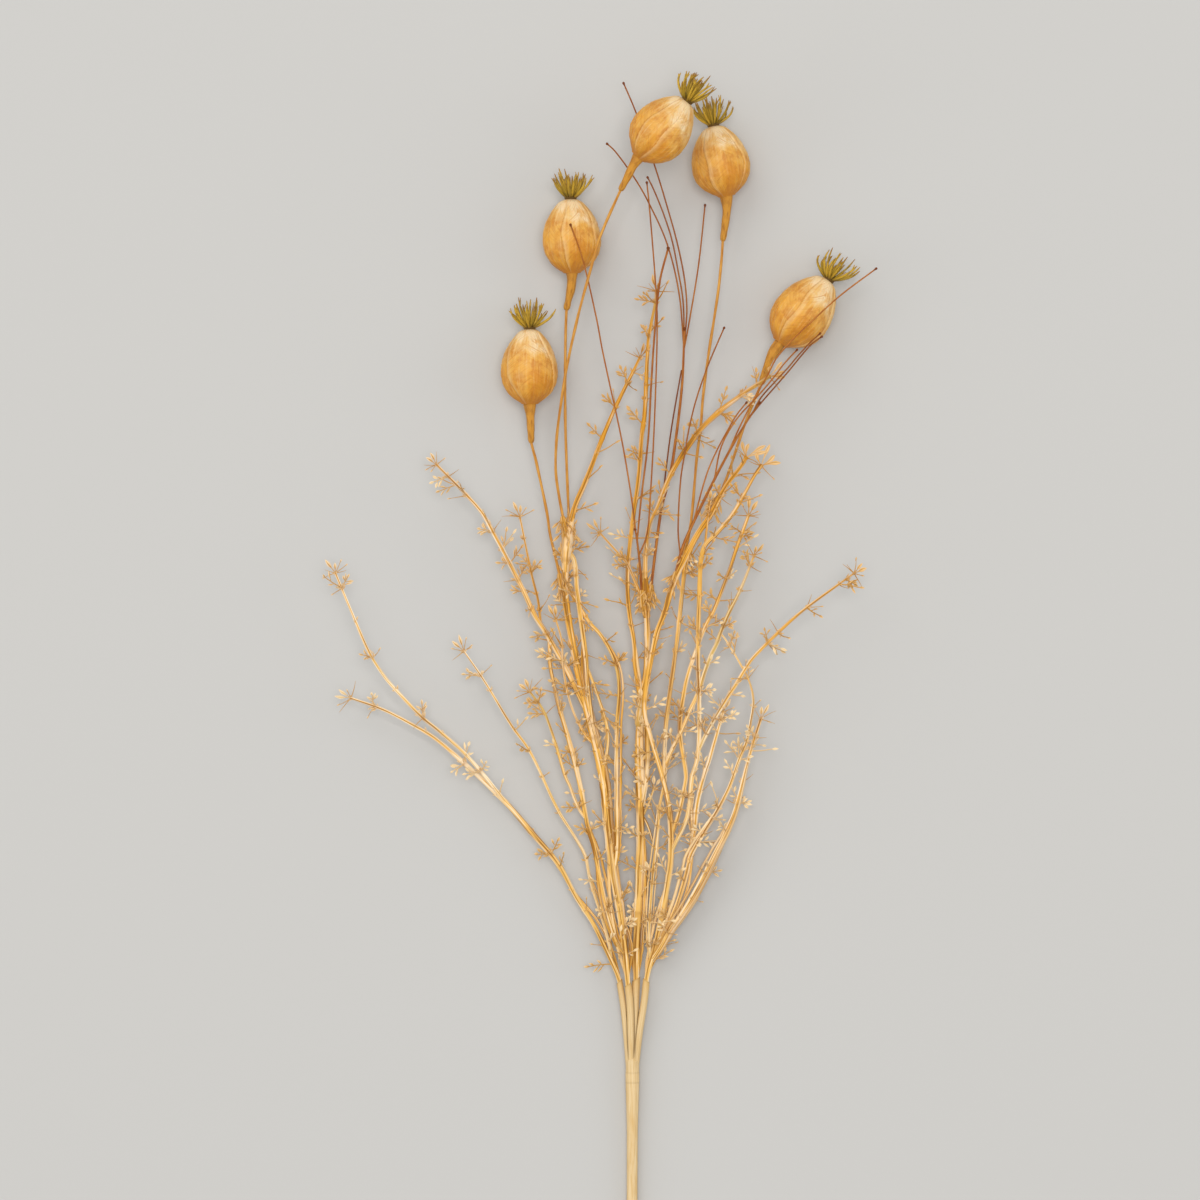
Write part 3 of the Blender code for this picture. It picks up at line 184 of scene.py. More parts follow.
TWIG_CENTRE = {
    "main": branch(
        [(635.5, 998), (636.3, 980), (636.5, 950), (637.5, 915), (639, 880), (640.5, 840),
         (640, 815), (639, 790), (638.5, 760), (638.6, 730), (640, 703), (637.5, 685),
         (635, 663), (634.5, 649), (633, 636), (630.5, 622), (628.3, 604), (627.5, 585),
         (628, 565), (629.5, 548), (633.6, 513), (638.6, 478), (641.5, 438), (644.6, 414),
         (646.6, 372), (648, 345), (651, 325), (655, 304), (656, 292)],
        (8, 10, 12, 14, 16, 19, 22, 27), (2.1, 3.2, 3.0, 1.6, 1.5, 1.6, 1.6, 0.9),
        whorls=6, tip=True),
    "second": branch(
        [(642, 818), (644, 795), (646.5, 775), (647.5, 751), (646.5, 728), (641, 703)],
        (12, 14, 14), (1.9, 2.0), start_on="main", end_on="main", whorls=1),
    "knot": branch(
        [(639, 724), (640, 712), (641.5, 700), (643, 688)],
        (13.5, 14.5), (3.0, 3.7, 3.6, 2.2), start_on="main"),
    "tall": branch(
        [(641, 702), (645.5, 680), (647, 660), (647.5, 640), (647, 620), (646, 605), (645, 590),
         (645, 578), (645.6, 555), (650, 524), (658, 506), (665, 489), (672, 472), (683, 455),
         (694, 438), (704, 426), (718, 413), (732, 402), (746, 392), (760, 383), (769, 377)],
        (14, 16, 17, 19, 23, 29), (2.4, 2.2, 2.0, 1.6, 1.9, 2.0, 1.2), start_on="main",
        whorls=5, tip=True),
    "tall_knot": branch(
        [(647, 618), (646, 604), (645, 590), (645, 574)],
        (15.5, 16.5), (2.2, 3.4, 3.3, 1.8), start_on="tall", end_on="tall"),
    "cross": branch(
        [(645, 605), (640, 593), (634, 580), (627, 564), (618, 553), (609, 543), (600, 533)],
        (16, 18, 20), (1.2, 1.0, 0.8), start_on="tall", whorls=1, tip=True),
    "spur_up": branch(
        [(642, 822), (649, 803), (654, 789)],
        (11.5, 12.5), (1.0, 0.8), start_on="main", tip=True),
    "spur_down": branch(
        [(641, 812), (646, 822), (650, 832), (653, 842)],
        (12, 11), (1.0, 0.9, 0.7), start_on="main"),
}

TWIG_RIGHT = {
    "main": branch(
        [(645, 999), (646.5, 981), (650, 965), (655, 949), (661, 920), (666, 892), (670, 869),
         (671, 850), (670.5, 820), (667, 796), (663.6, 783), (660, 768), (656, 754), (650, 735),
         (645, 716), (645, 696), (648.5, 675), (652, 655), (657, 632), (665, 611), (673, 584),
         (686, 556), (697, 535), (709.6, 516), (718, 500), (728, 483), (739.5, 468), (746, 458)],
        (11, 13, 16, 20, 23, 24.5, 25.5, 27), (1.8, 2.2, 2.2, 1.6, 1.7, 2.1, 2.2, 1.3),
        whorls=5, tip=True),
    "pale": branch(
        [(664, 786), (664.5, 765), (665, 740), (667, 715), (670, 695), (673, 670), (677, 640),
         (681, 600), (684, 575), (688, 552)],
        (18, 20, 22, 24), (1.7, 1.6, 1.6), start_on="main", end_on="main", whorls=2),
    "thin": branch(
        [(651, 962), (649, 940), (650.7, 909), (652.5, 880), (655, 858), (658, 830),
         (660, 805), (663.6, 784)],
        (12, 14, 17), (1.2, 1.1, 1.1), start_on="main", end_on="main", whorls=1),
    "edge": branch(
        [(651, 964), (661, 947), (669, 932), (680.5, 915), (690, 901), (697, 888),
         (703, 876), (709, 864), (714, 855), (722, 840), (732, 819), (737, 804), (740.4, 792),
         (744.5, 776), (750.6, 751), (756.7, 731), (760.4, 719)],
        (13, 16, 20, 25), (1.6, 1.7, 1.6, 1.2), start_on="main", whorls=4, tip=True),
    "reach": branch(
        [(656, 948), (664, 936), (669, 925), (676, 908), (682, 890), (687, 872), (690, 858),
         (694, 849), (701, 837), (706, 829), (713, 816), (726, 794), (730, 783), (740, 757),
         (746.5, 741), (751.6, 715), (753, 705), (752.5, 694), (749.6, 683), (743.4, 669.6),
         (733.6, 653.6), (725, 639), (720, 633)],
        (13, 16, 20, 24, 25, 27), (1.7, 1.8, 1.4, 1.3, 0.85, 0.7), start_on="main", whorls=4),
    "inner": branch(
        [(689, 862), (691.4, 848), (694, 833), (695.5, 817), (697.6, 802), (701.6, 785),
         (705.7, 770), (709, 761), (714, 744), (719, 727), (723, 712)],
        (16, 19, 23), (1.8, 1.9, 1.6, 1.2), start_on="reach", whorls=2, tip=True),
    "upright": branch(
        [(671, 854), (677, 840), (683, 828), (688, 814), (690, 800), (692, 778), (697, 760),
         (699, 740), (699, 720), (699, 695), (698, 669), (698, 636), (699, 602), (701, 558),
         (705, 545), (716, 534), (731, 516), (743, 496), (754, 476), (761, 466)],
        (17, 20, 23, 26, 28, 30), (1.4, 1.7, 1.6, 1.7, 1.6, 1.2), start_on="main",
        whorls=5, tip=True),
    "cross": branch(
        [(694, 838), (691.5, 820), (690, 800)],
        (17, 18.5), (1.2, 1.2), start_on="inner", end_on="upright"),
    "rib": branch(
        [(671.5, 838), (677, 820), (681, 805), (684, 790), (686, 775), (683, 758), (680.5, 740),
         (680, 720), (683, 698), (688, 675), (695, 655), (701, 637), (708, 620.6), (713, 612),
         (719.6, 596), (728, 574), (736, 549), (743, 529), (748, 516)],
        (17, 19.5, 22.5, 27, 31), (1.6, 1.6, 1.7, 1.4, 1.5, 1.1), start_on="main",
        whorls=4, tip=True),
    "bough": branch(
        [(665, 766), (671, 752), (677, 740), (683, 727), (689, 712), (695, 700), (700, 688),
         (704.7, 672), (711, 655), (716, 645), (721, 631), (729.5, 611), (739.5, 591),
         (746, 574), (753.6, 556)],
        (19, 21, 25, 29, 33), (1.5, 1.7, 1.6, 1.4, 1.0), start_on="pale", whorls=4, tip=True),
    "arm": branch(
        [(699, 752), (703, 741), (708.6, 729.5), (715.7, 717), (722, 707), (728, 696),
         (735.4, 685), (744, 670.5), (753.5, 657), (768, 642), (784.5, 626), (806, 607.5),
         (827, 592), (853, 573.4)],
        (21, 27, 33, 38), (1.5, 1.5, 1.2, 0.8), start_on="upright", whorls=3, tip=True),
    "twiglet": branch(
        [(705, 545), (707, 525), (709.6, 502)],
        (27, 27.5), (0.9, 0.75), start_on="upright", tip=True),
}

TWIGS = {
    "twig_left": TWIG_LEFT,
    "twig_mid_left": TWIG_MID_LEFT,
    "twig_centre": TWIG_CENTRE,
    "twig_right": TWIG_RIGHT,
}

# Routes of the main stem and its four sleeves, downwards from each mouth
MAIN_STEM_ROUTE = [(632, 1270), (632.3, 1200), (632.5, 1130), (632.6, 1086), (632.6, 1062)]
MAIN_STEM_HEIGHTS = (3.42, 4.6, 5.6, 6.2, 6.4)
MAIN_STEM_RADII = (3.6, 3.6, 3.7, 4.55, 4.5)
SLEEVES = {
    "twig_left": [(619.5, 982), (623, 1004), (627, 1040), (630, 1076)],
    "twig_mid_left": [(628, 985), (630, 1005), (631, 1040), (631.5, 1078)],
    "twig_centre": [(636.3, 980), (635.4, 1000), (634.6, 1040), (633.5, 1078)],
    "twig_right": [(646.5, 981), (644.5, 1001), (638.5, 1040), (634.5, 1076)],
}
SLEEVE_BASE_HEIGHT = 6.3

# Poppy heads: seat of the crown, start of the neck, neck and stem routes
POPPIES = {
    1: Poppy(
        seat=(686, 105), join=(638, 160), radius=19.4, height=52, rise=7, turn=-16, rests=False,
        neck=[(638, 160), (632, 170), (626.5, 181), (621, 191.5)],
        stem=[(609.5, 218), (599.8, 240), (590.5, 272), (582.7, 300), (577, 322), (571, 348),
              (566.5, 370), (562.5, 395), (557, 436), (555.8, 471), (559.5, 499), (562.5, 515),
              (564.5, 533)],
        stem_heights=(49, 47, 45, 41, 36, 29, 22.5, 19.6), host="twig_mid_left"),
    2: Poppy(
        seat=(713.5, 126), join=(727, 196), radius=19.2, height=18.8, rise=0, turn=4, rests=True,
        neck=[(727, 196), (726.8, 209), (725, 224), (723, 239)],
        stem=[(721.7, 258), (718, 293), (713, 328), (707, 365), (702.8, 400), (700.7, 428),
              (697, 456), (694, 486), (692, 513), (689, 534), (683, 562)],
        stem_heights=(18.8, 18.4, 17.6, 17, 17.2, 20, 24), host="twig_right"),
    3: Poppy(
        seat=(570.5, 199), join=(572, 273), radius=19.3, height=18.8, rise=0, turn=2, rests=True,
        neck=[(572, 273), (571.2, 285), (569, 297), (566.6, 308)],
        stem=[(566.5, 326), (565.3, 361), (565.3, 388), (565.5, 430), (567, 478), (568.5, 505),
              (569.5, 534)],
        stem_heights=(18.8, 18.4, 17.4, 16.4, 15.4), host="twig_mid_left"),
    4: Poppy(
        seat=(529.5, 329), join=(530, 404), radius=18.8, height=18.4, rise=0, turn=0, rests=True,
        neck=[(530, 404), (530.4, 416), (530.6, 429), (531, 441)],
        stem=[(536, 461), (541.7, 489), (547, 513), (550, 534), (554, 552), (558, 568),
              (562.5, 590)],
        stem_heights=(18.4, 18, 17, 17), host="twig_mid_left"),
    5: Poppy(
        seat=(828, 280), join=(780, 343), radius=19.5, height=19.1, rise=0, turn=-16, rests=True,
        neck=[(780, 343), (771.5, 356), (766, 369), (762, 382)],
        stem=[(757.5, 393), (752, 407), (746, 421), (740, 438), (735, 454), (728, 474),
              (721, 492), (712, 511)],
        stem_heights=(19.6, 20.6, 22.5, 24.6), host="twig_right"),
}


def hair(points, heights, radii=(0.55, 0.5), start_on=None, knob=True):
    """One wire of a wisp: heights and radii are spread evenly along its route."""
    return Hair(points, heights, radii, start_on, knob)


# Routes of the wisps, from the foot outwards
WISPS = {
    "wisp_centre": ("twig_centre", {
        "stem": hair(
            [(648, 601), (651, 588), (655, 555), (662, 506), (669, 480), (673.5, 456), (678, 421),
             (682, 386), (683.8, 352), (684.5, 327)],
            (16.5, 14.5, 14, 15, 17, 19), (1.0, 1.0, 1.0, 0.7)),
        "far": hair(
            [(683.8, 350), (686.6, 318), (686.6, 300), (684.5, 279), (680, 255), (673, 227),
             (665, 199), (655, 167), (645, 139), (635.6, 112), (623, 82.4)],
            (18, 20, 22, 24), start_on="stem"),
        "bent": hair(
            [(684, 345), (681.7, 321), (679, 293), (673, 268), (667, 244), (659, 226), (648, 202),
             (634, 178), (626, 167), (615, 152), (606, 143.7)],
            (18, 22, 26, 28), start_on="stem"),
        "short": hair(
            [(684.3, 335), (683, 300), (678, 270), (672, 240), (664, 215), (654, 190), (647, 176)],
            (19, 18, 18), start_on="stem"),
        "right": hair(
            [(683.8, 352), (688.7, 325), (693, 300), (698.6, 265), (702.8, 230), (705.4, 203)],
            (18, 15, 11), start_on="stem"),
        "dark": hair(
            [(662, 508), (667, 462), (672, 425), (678, 392), (681.5, 370)],
            (14.4, 17, 20), start_on="stem", knob=False),
    }),
    "wisp_left": ("twig_centre", {
        "stem": hair(
            [(643, 607), (641.6, 590), (640.5, 572), (637, 540), (634.8, 528)],
            (17.4, 19.5, 22.5, 23.5), (0.95, 0.85, 0.6)),
        "over_pod": hair(
            [(636, 535), (632, 502), (626, 464), (620, 432), (609, 380), (603, 354), (596, 317),
             (588, 283), (582, 258), (570.2, 225.2)],
            (24, 28, 32, 36.5, 40), start_on="stem"),
        "upright": hair(
            [(638.7, 556), (647, 534), (650.5, 492), (653.7, 435), (655.8, 380), (657, 321),
             (655, 279), (652, 244), (648.7, 202), (646.5, 182.4)],
            (21.5, 27, 31, 33, 33, 33), start_on="stem"),
        "leaning": hair(
            [(637, 541), (641, 500), (648, 440), (651, 386), (654, 340), (659.5, 283),
             (668.4, 247.7)],
            (23, 27, 32, 33, 32), (0.6, 0.75), start_on="stem"),
    }),
    "wisp_right": ("twig_right", {
        "stem": hair(
            [(672, 588), (677, 568), (683, 546), (693, 523), (702, 505), (714, 480), (726.6, 456),
             (739, 434), (749, 418), (760, 402)],
            (24.2, 26.5, 28.5, 31, 34), (1.0, 1.0, 0.9, 0.6)),
        "dark_low": hair(
            [(749, 418), (761, 403), (774, 388), (788, 372), (801, 356), (812, 344), (822, 337)],
            (32, 35, 37, 38), start_on="stem"),
        "dark_high": hair(
            [(752, 413), (760, 399), (774, 383), (787, 369), (797, 357), (809, 344), (820, 334)],
            (33, 38, 41, 42), start_on="stem"),
        "over_pod": hair(
            [(726.6, 456), (740, 426), (757, 393), (768, 374), (775, 360), (787, 346),
             (801, 332), (821.6, 313), (838, 298), (852, 287), (876, 269.3)],
            (30.5, 35, 40, 43, 42, 40), start_on="stem"),
        "thin": hair(
            [(714, 480), (721, 447), (736, 420), (757, 397), (770, 382), (784, 364), (797, 350)],
            (29.5, 33, 38, 42), start_on="stem"),
        "left": hair(
            [(693, 523), (706, 476), (716, 452), (726.6, 432), (736.5, 415), (747, 402)],
            (27.5, 29, 31), start_on="stem"),
        "upright": hair(
            [(680.3, 556), (678, 530), (680.5, 480), (684.5, 454), (689, 428), (696, 400),
             (704, 376), (711, 358), (724.5, 327)],
            (26.2, 27.5, 28.5, 29, 28, 27, 26), start_on="stem"),
    }),
}

# Layout: places in millimetres

def spot(x, y, height):
    """A place over the surface in millimetres, from a pixel of the photograph."""
    scale = PIXEL / MM
    return Vector(((x - MIDDLE_X) * scale, (MIDDLE_Y - y) * scale, height))


def spread(values, share):
    """The value at a share of the way along evenly spread values."""
    return float(np.interp(share * (len(values) - 1), range(len(values)), values))


def lengths_along(places):
    total = [0.0]
    for near, far in zip(places, places[1:]):
        total.append(total[-1] + (far - near).length)
    return total


def lay_route(points, heights, radii):
    """Places and radii of a route, its heights and radii spread along its length."""
    flat = [spot(x, y, 0) for x, y in points]
    along = lengths_along(flat)
    shares = [value / along[-1] for value in along]
    places = [Vector((p.x, p.y, spread(heights, s))) for p, s in zip(flat, shares)]
    return places, [spread(radii, s) for s in shares]


def straightened(places, radii):
    """A route without the places that bend it by less than the least bend."""
    if len(places) < 3:
        return places, radii
    run = places[-1] - places[0]
    bends = []
    for place in places[1:-1]:
        share = min(1, max(0, (place - places[0]).dot(run) / run.length_squared))
        bends.append((places[0] + run * share - place).length)
    if max(bends) < LEAST_BEND:
        return [places[0], places[-1]], [radii[0], radii[-1]]
    middle = bends.index(max(bends)) + 1
    near, near_radii = straightened(places[:middle + 1], radii[:middle + 1])
    far, far_radii = straightened(places[middle:], radii[middle:])
    return near[:-1] + far, near_radii[:-1] + far_radii


def nearest_on(places, target):
    """The place on a route that is nearest to a target, seen from above."""
    best = None
    for near, far in zip(places, places[1:]):
        run = far - near
        flat_run = Vector((run.x, run.y))
        offset = Vector((target.x - near.x, target.y - near.y))
        share = min(1, max(0, offset.dot(flat_run) / flat_run.length_squared))
        place = near + run * share
        distance = (Vector((place.x, place.y)) - Vector((target.x, target.y))).length
        if best is None or distance < best[0]:
            best = (distance, place)
    return best[1]


def lay_branches(branches):
    """Routes of one twig or wisp, with each fork's ends put on its parent's centre line."""
    laid = {}
    for name, item in branches.items():
        places, radii = lay_route(item.points, item.heights, item.radii)
        if item.start_on:
            places[0] = nearest_on(laid[item.start_on][0], places[0])
        if getattr(item, "end_on", None):
            places[-1] = nearest_on(laid[item.end_on][0], places[-1])
        foot = 0 if item.start_on else FOOT_PLACES
        far, far_radii = straightened(places[foot:], radii[foot:])
        laid[name] = (places[:foot] + far, radii[:foot] + far_radii)
    return laid


def along_route(places, distance):
    """The place and direction at a distance along a route."""
    for near, far in zip(places, places[1:]):
        step = (far - near).length
        if distance <= step or far is places[-1]:
            direction = (far - near).normalized()
            return near + direction * distance, direction
        distance -= step
    return None


def route_end(places, depth, beyond):
    """The last stretch of a route, depth long, carried on by a length beyond its end."""
    backwards = list(reversed(places))
    kept = [backwards[0] + (backwards[0] - backwards[1]).normalized() * beyond]
    left = depth
    for near, far in zip(backwards, backwards[1:]):
        step = (far - near).length
        if step >= left:
            kept.append(near + (far - near).normalized() * left)
            break
        kept.append(far)
        left -= step
    return kept


class Surroundings:
    """Every rod laid so far, so that trimmings keep clear of the other nodes."""

    def __init__(self):
        self.starts = []
        self.ends = []
        self.radii = []
        self.nodes = []

    def lay(self, node, start, end, radius):
        self.starts.append(tuple(start))
        self.ends.append(tuple(end))
        self.radii.append(radius)
        self.nodes.append(node)

    def lay_route(self, node, places, radii):
        for index in range(len(places) - 1):
            self.lay(node, places[index], places[index + 1], max(radii[index], radii[index + 1]))

    def settle(self):
        self.start_array = np.array(self.starts)
        self.end_array = np.array(self.ends)
        self.radius_array = np.array(self.radii)
        self.node_array = np.array(self.nodes)

    def distances(self, place):
        """How far a place is from the middle of every rod."""
        run = self.end_array - self.start_array
        squared = np.maximum((run * run).sum(axis=1), 1e-9)
        share = np.clip(((place - self.start_array) * run).sum(axis=1) / squared, 0, 1)
        return np.linalg.norm(self.start_array + run * share[:, None] - place, axis=1)

    def accepts(self, node, trim, steps=7):
        """Lay a trimming if it is clear of the surface and of all rods but those it grows from."""
        foreign = self.node_array != node
        rooted = ~foreign & (self.distances(np.array(trim.base)) < self.radius_array + ROOT_REACH)
        limit = self.radius_array + TRIM_RADIUS + np.where(foreign, CLEARANCE, 0)
        limit[rooted] = -1
        for start, end in trim.rods:
            if min(start.z, end.z) - TRIM_RADIUS < LOWEST_TRIM:
                return False
            for step in range(steps):
                place = np.array(start.lerp(end, step / (steps - 1)))
                if (self.distances(place) < limit).any():
                    return False
        for start, end in trim.rods:
            self.lay(node, start, end, TRIM_RADIUS)
        self.settle()
        return True


def pod_frame(poppy):
    """The crown's seat, the unit axis from the neck to the seat, and the pod's length."""
    seat = spot(*poppy.seat, 0)
    join = spot(*poppy.join, 0)
    flat_axis = (seat - join).normalized()
    rise = math.radians(poppy.rise)
    axis = flat_axis * math.cos(rise) + Vector((0, 0, math.sin(rise)))
    length = (seat - join).length / math.cos(rise)
    middle = (seat + join) / 2
    middle.z = poppy.height
    return middle + axis * length / 2, axis, length


def lay_poppy(poppy):
    """Routes of a poppy's neck and stem: the stem's ends are buried in neck and host."""
    seat, axis, length = pod_frame(poppy)
    join = seat - axis * length
    start_height = join.z
    end_height = poppy.stem_heights[0]
    neck, neck_radii = lay_route(poppy.neck, (start_height, end_height), NECK_RADII)
    neck[0] = join + axis * 2
    buried = along_route(list(reversed(neck)), NECK_SOCKET_DEPTH - 1)[0]
    flat_stem, radii = straightened(
        *lay_route([poppy.neck[-1], *poppy.stem], poppy.stem_heights, (STEM_RADIUS,)))
    return neck, neck_radii, [buried, *flat_stem], [STEM_RADIUS, *radii]


def lay_bristles(number, poppy):
    """Start and end of every bristle of a crown, as spikes of a leaning fan."""
    seat, axis, _ = pod_frame(poppy)
    draw = random.Random(100 + number)
    lean_axis = Matrix.Rotation(-math.radians(poppy.turn), 3, "Z") @ axis
    across = lean_axis.cross(Vector((0, 0, 1))).normalized()
    up = across.cross(lean_axis).normalized()
    top = seat + axis * (GAP + CROWN_COLLAR_HEIGHT * 0.5)
    bristles = []
    for index in range(BRISTLES):
        share = math.sqrt((index + 0.5) / BRISTLES)
        angle = index * GOLDEN_ANGLE
        outward = across * math.cos(angle) + up * math.sin(angle)
        lean = share * BRISTLE_LEAN + draw.uniform(-0.16, 0.16)
        length = draw.uniform(*BRISTLE_LENGTHS)
        start = top + outward * CROWN_COLLAR_RADIUS * 0.78 * share
        direction = lean_axis * math.cos(lean) + outward * math.sin(lean)
        if direction.angle(axis) > BRISTLE_MOST_LEAN:
            aside = (direction - axis * direction.dot(axis)).normalized()
            direction = axis * math.cos(BRISTLE_MOST_LEAN) + aside * math.sin(BRISTLE_MOST_LEAN)
        end = start + direction * length
        if end.z > LOWEST_TRIM:
            bristles.append((start, end))
    return bristles


# Trimmings of the twigs: sprigs of leaflets, fans at the tips, and needles

def whorl_frame(direction):
    across = direction.cross(Vector((0, 0, 1))).normalized()
    return across, across.cross(direction).normalized()


def turned(angle):
    return Vector((math.cos(angle), math.sin(angle)))


def leaflet_end(start, way, length):
    """The broad outer end of a leaflet, in the order of its outline."""
    across = Vector((-way.y, way.x)) * LEAFLET_WIDTH / 2
    return [start + way * length + across, start + way * length - across]


def sprig(base, way, normal, draw):
    """A short stalk that ends in one leaflet, with a pair of leaflets below it."""
    stalk = draw.uniform(*SPRIG_STALKS)
    half = STALK_WIDTH / 2
    stalk_end = Vector((stalk, 0))
    end_length = draw.uniform(*LEAFLET_LENGTHS)
    rods = [(Vector((0, 0)), stalk_end), (stalk_end, stalk_end + Vector((end_length, 0)))]
    edges = []
    for side in (1, -1):
        place = stalk - LEAFLET_PITCH + draw.uniform(-0.6, 0.4)
        leaf_way = turned(math.radians(draw.uniform(44, 58)) * side)
        length = draw.uniform(*LEAFLET_LENGTHS)
        start = Vector((place, half * side))
        joint = start + Vector((LEAFLET_NECK, 0))
        near, far = (start, joint) if side > 0 else (joint, start)
        edges.append([near, *leaflet_end(start, leaf_way, length), far])
        rods.append((start, start + leaf_way * length))
    outline = [Vector((0, half)), *edges[0], *leaflet_end(stalk_end, turned(0), end_length),
               *edges[1], Vector((0, -half))]
    return flat_trim("sprig", base, way, normal, outline, rods)


def fan(base, way, normal, draw):
    """The cluster at a branch's tip: leaflets that spread from one point."""
    outline = [Vector((-1.2, 0.45))]
    rods = []
    for index, splay in enumerate(FAN_SPLAYS):
        angle = math.radians(splay + draw.uniform(-4, 4))
        reach = draw.uniform(*FAN_REACHES)
        if index:
            between = math.radians((splay + FAN_SPLAYS[index - 1]) / 2)
            outline.append(turned(between) * FAN_NOTCH)
        outline += leaflet_end(Vector((0, 0)), turned(angle), reach)
        rods.append((Vector((0, 0)), turned(angle) * reach))
    outline.append(Vector((-1.2, -0.45)))
    return flat_trim("fan", base, way, normal, outline, rods)


def flat_trim(kind, base, way, normal, outline, flat_rods):
    """A trimming with a flat outline, and the rods by which its clearance is judged."""
    across = normal.cross(way).normalized()
    rods = [tuple(base + way * flat.x + across * flat.y for flat in rod) for rod in flat_rods]
    return Trim(kind, base, way, normal, outline, rods)


def needle(base, way, normal, draw):
    end = base + way * draw.uniform(*NEEDLE_LENGTHS)
    return Trim("needle", base, way, normal, None, [(base, end)])


WHORL_KINDS = ((sprig, needle), (sprig, sprig), (sprig,))
WHORL_SHARES = (7, 1, 2)


def lay_whorl(node, base, direction, draw, surroundings):
    """One whorl: a sprig with a needle, with another or alone, each drawn until it is clear."""
    across, up = whorl_frame(direction)
    laid = []
    wanted = draw.choices(WHORL_KINDS, WHORL_SHARES)[0]
    side = draw.choice((-1, 1))
    for make in wanted:
        for attempt in range(WHORL_TRIES):
            turn = math.radians(draw.uniform(-45, 45))
            outward = (across * math.cos(turn) + up * math.sin(turn)) * side
            lean = math.radians(draw.uniform(46, 76) if make is sprig else draw.uniform(66, 100))
            way = (direction * math.cos(lean) + outward * math.sin(lean)).normalized()
            normal = way.cross(direction).normalized()
            trim = make(base, way, normal, draw)
            if surroundings.accepts(node, trim):
                laid.append(trim)
                break
            side = -side
        side = -side
    return laid


def lay_tip(node, base, direction, draw, surroundings):
    """The fan and the two needles at a branch's tip, where they are clear."""
    across, up = whorl_frame(direction)
    normal = (up + across * draw.uniform(-0.5, 0.5)).normalized()
    trims = [fan(base, direction, normal, draw)]
    for side in (-1, 1):
        lean = math.radians(draw.uniform(70, 105)) * side
        trims.append(needle(base, direction * math.cos(lean) + across * math.sin(lean), up, draw))
    return [trim for trim in trims if surroundings.accepts(node, trim)]


def lay_trims(node, seed, branches, laid, surroundings):
    """All trimmings of one twig, in the order of its branches."""
    draw = random.Random(seed)
    trims = []
    for name, item in branches.items():
        places, _ = laid[name]
        total = lengths_along(places)[-1]
        if item.tip:
            direction = (places[-1] - places[-2]).normalized()
            trims += lay_tip(node, places[-1], direction, draw, surroundings)
        shares = np.linspace(0.12, 0.93, item.whorls) if item.whorls > 1 else [0.5] * item.whorls
        for share in shares:
            place = (float(share) + draw.uniform(-0.03, 0.03)) * total
            base, direction = along_route(places, place)
            if base.y > spot(0, BARE_FOOT_PIXEL, 0).y:
                trims += lay_whorl(node, base, direction, draw, surroundings)
    return trims


def lay_everything():
    """Routes of all nodes, and the surroundings that trimmings have to keep clear of."""
    surroundings = Surroundings()
    twigs = {name: lay_branches(branches) for name, branches in TWIGS.items()}
    for name, laid in twigs.items():
        places, radii = laid["main" if "main" in laid else "low"]
        radii[0] = radii[1]
        for places, radii in laid.values():
            surroundings.lay_route(name, places, radii)
    poppies = {number: lay_poppy(poppy) for number, poppy in POPPIES.items()}
    crowns = {number: lay_bristles(number, poppy) for number, poppy in POPPIES.items()}
    for number, poppy in POPPIES.items():
        neck, neck_radii, stem, stem_radii = poppies[number]
        surroundings.lay_route(f"pod_{number}", neck, neck_radii)
        surroundings.lay_route(f"poppy_stem_{number}", stem, stem_radii)
        seat, axis, length = pod_frame(poppy)
        for near, far in zip(POD_OUTLINE, POD_OUTLINE[1:]):
            surroundings.lay(f"pod_{number}", seat - axis * length * near[0],
                             seat - axis * length * far[0], max(near[1], far[1]) * poppy.radius)
        for start, end in crowns[number]:
            surroundings.lay(f"crown_{number}", start, end, BRISTLE_RADII[0])
    wisps = {name: lay_branches(hairs) for name, (_, hairs) in WISPS.items()}
    for name, laid in wisps.items():
        for places, radii in laid.values():
            surroundings.lay_route(name, places, radii)
    stem_places = [spot(x, y, h) for (x, y), h in zip(MAIN_STEM_ROUTE, MAIN_STEM_HEIGHTS)]
    surroundings.lay_route("main_stem", stem_places, MAIN_STEM_RADII)
    surroundings.settle()
    trims = {}
    for seed, (name, branches) in enumerate(TWIGS.items(), start=1):
        trims[name] = lay_trims(name, seed, branches, twigs[name], surroundings)
    return twigs, poppies, crowns, wisps, trims, surroundings


# Forms: shapes built ring by ring, in millimetres

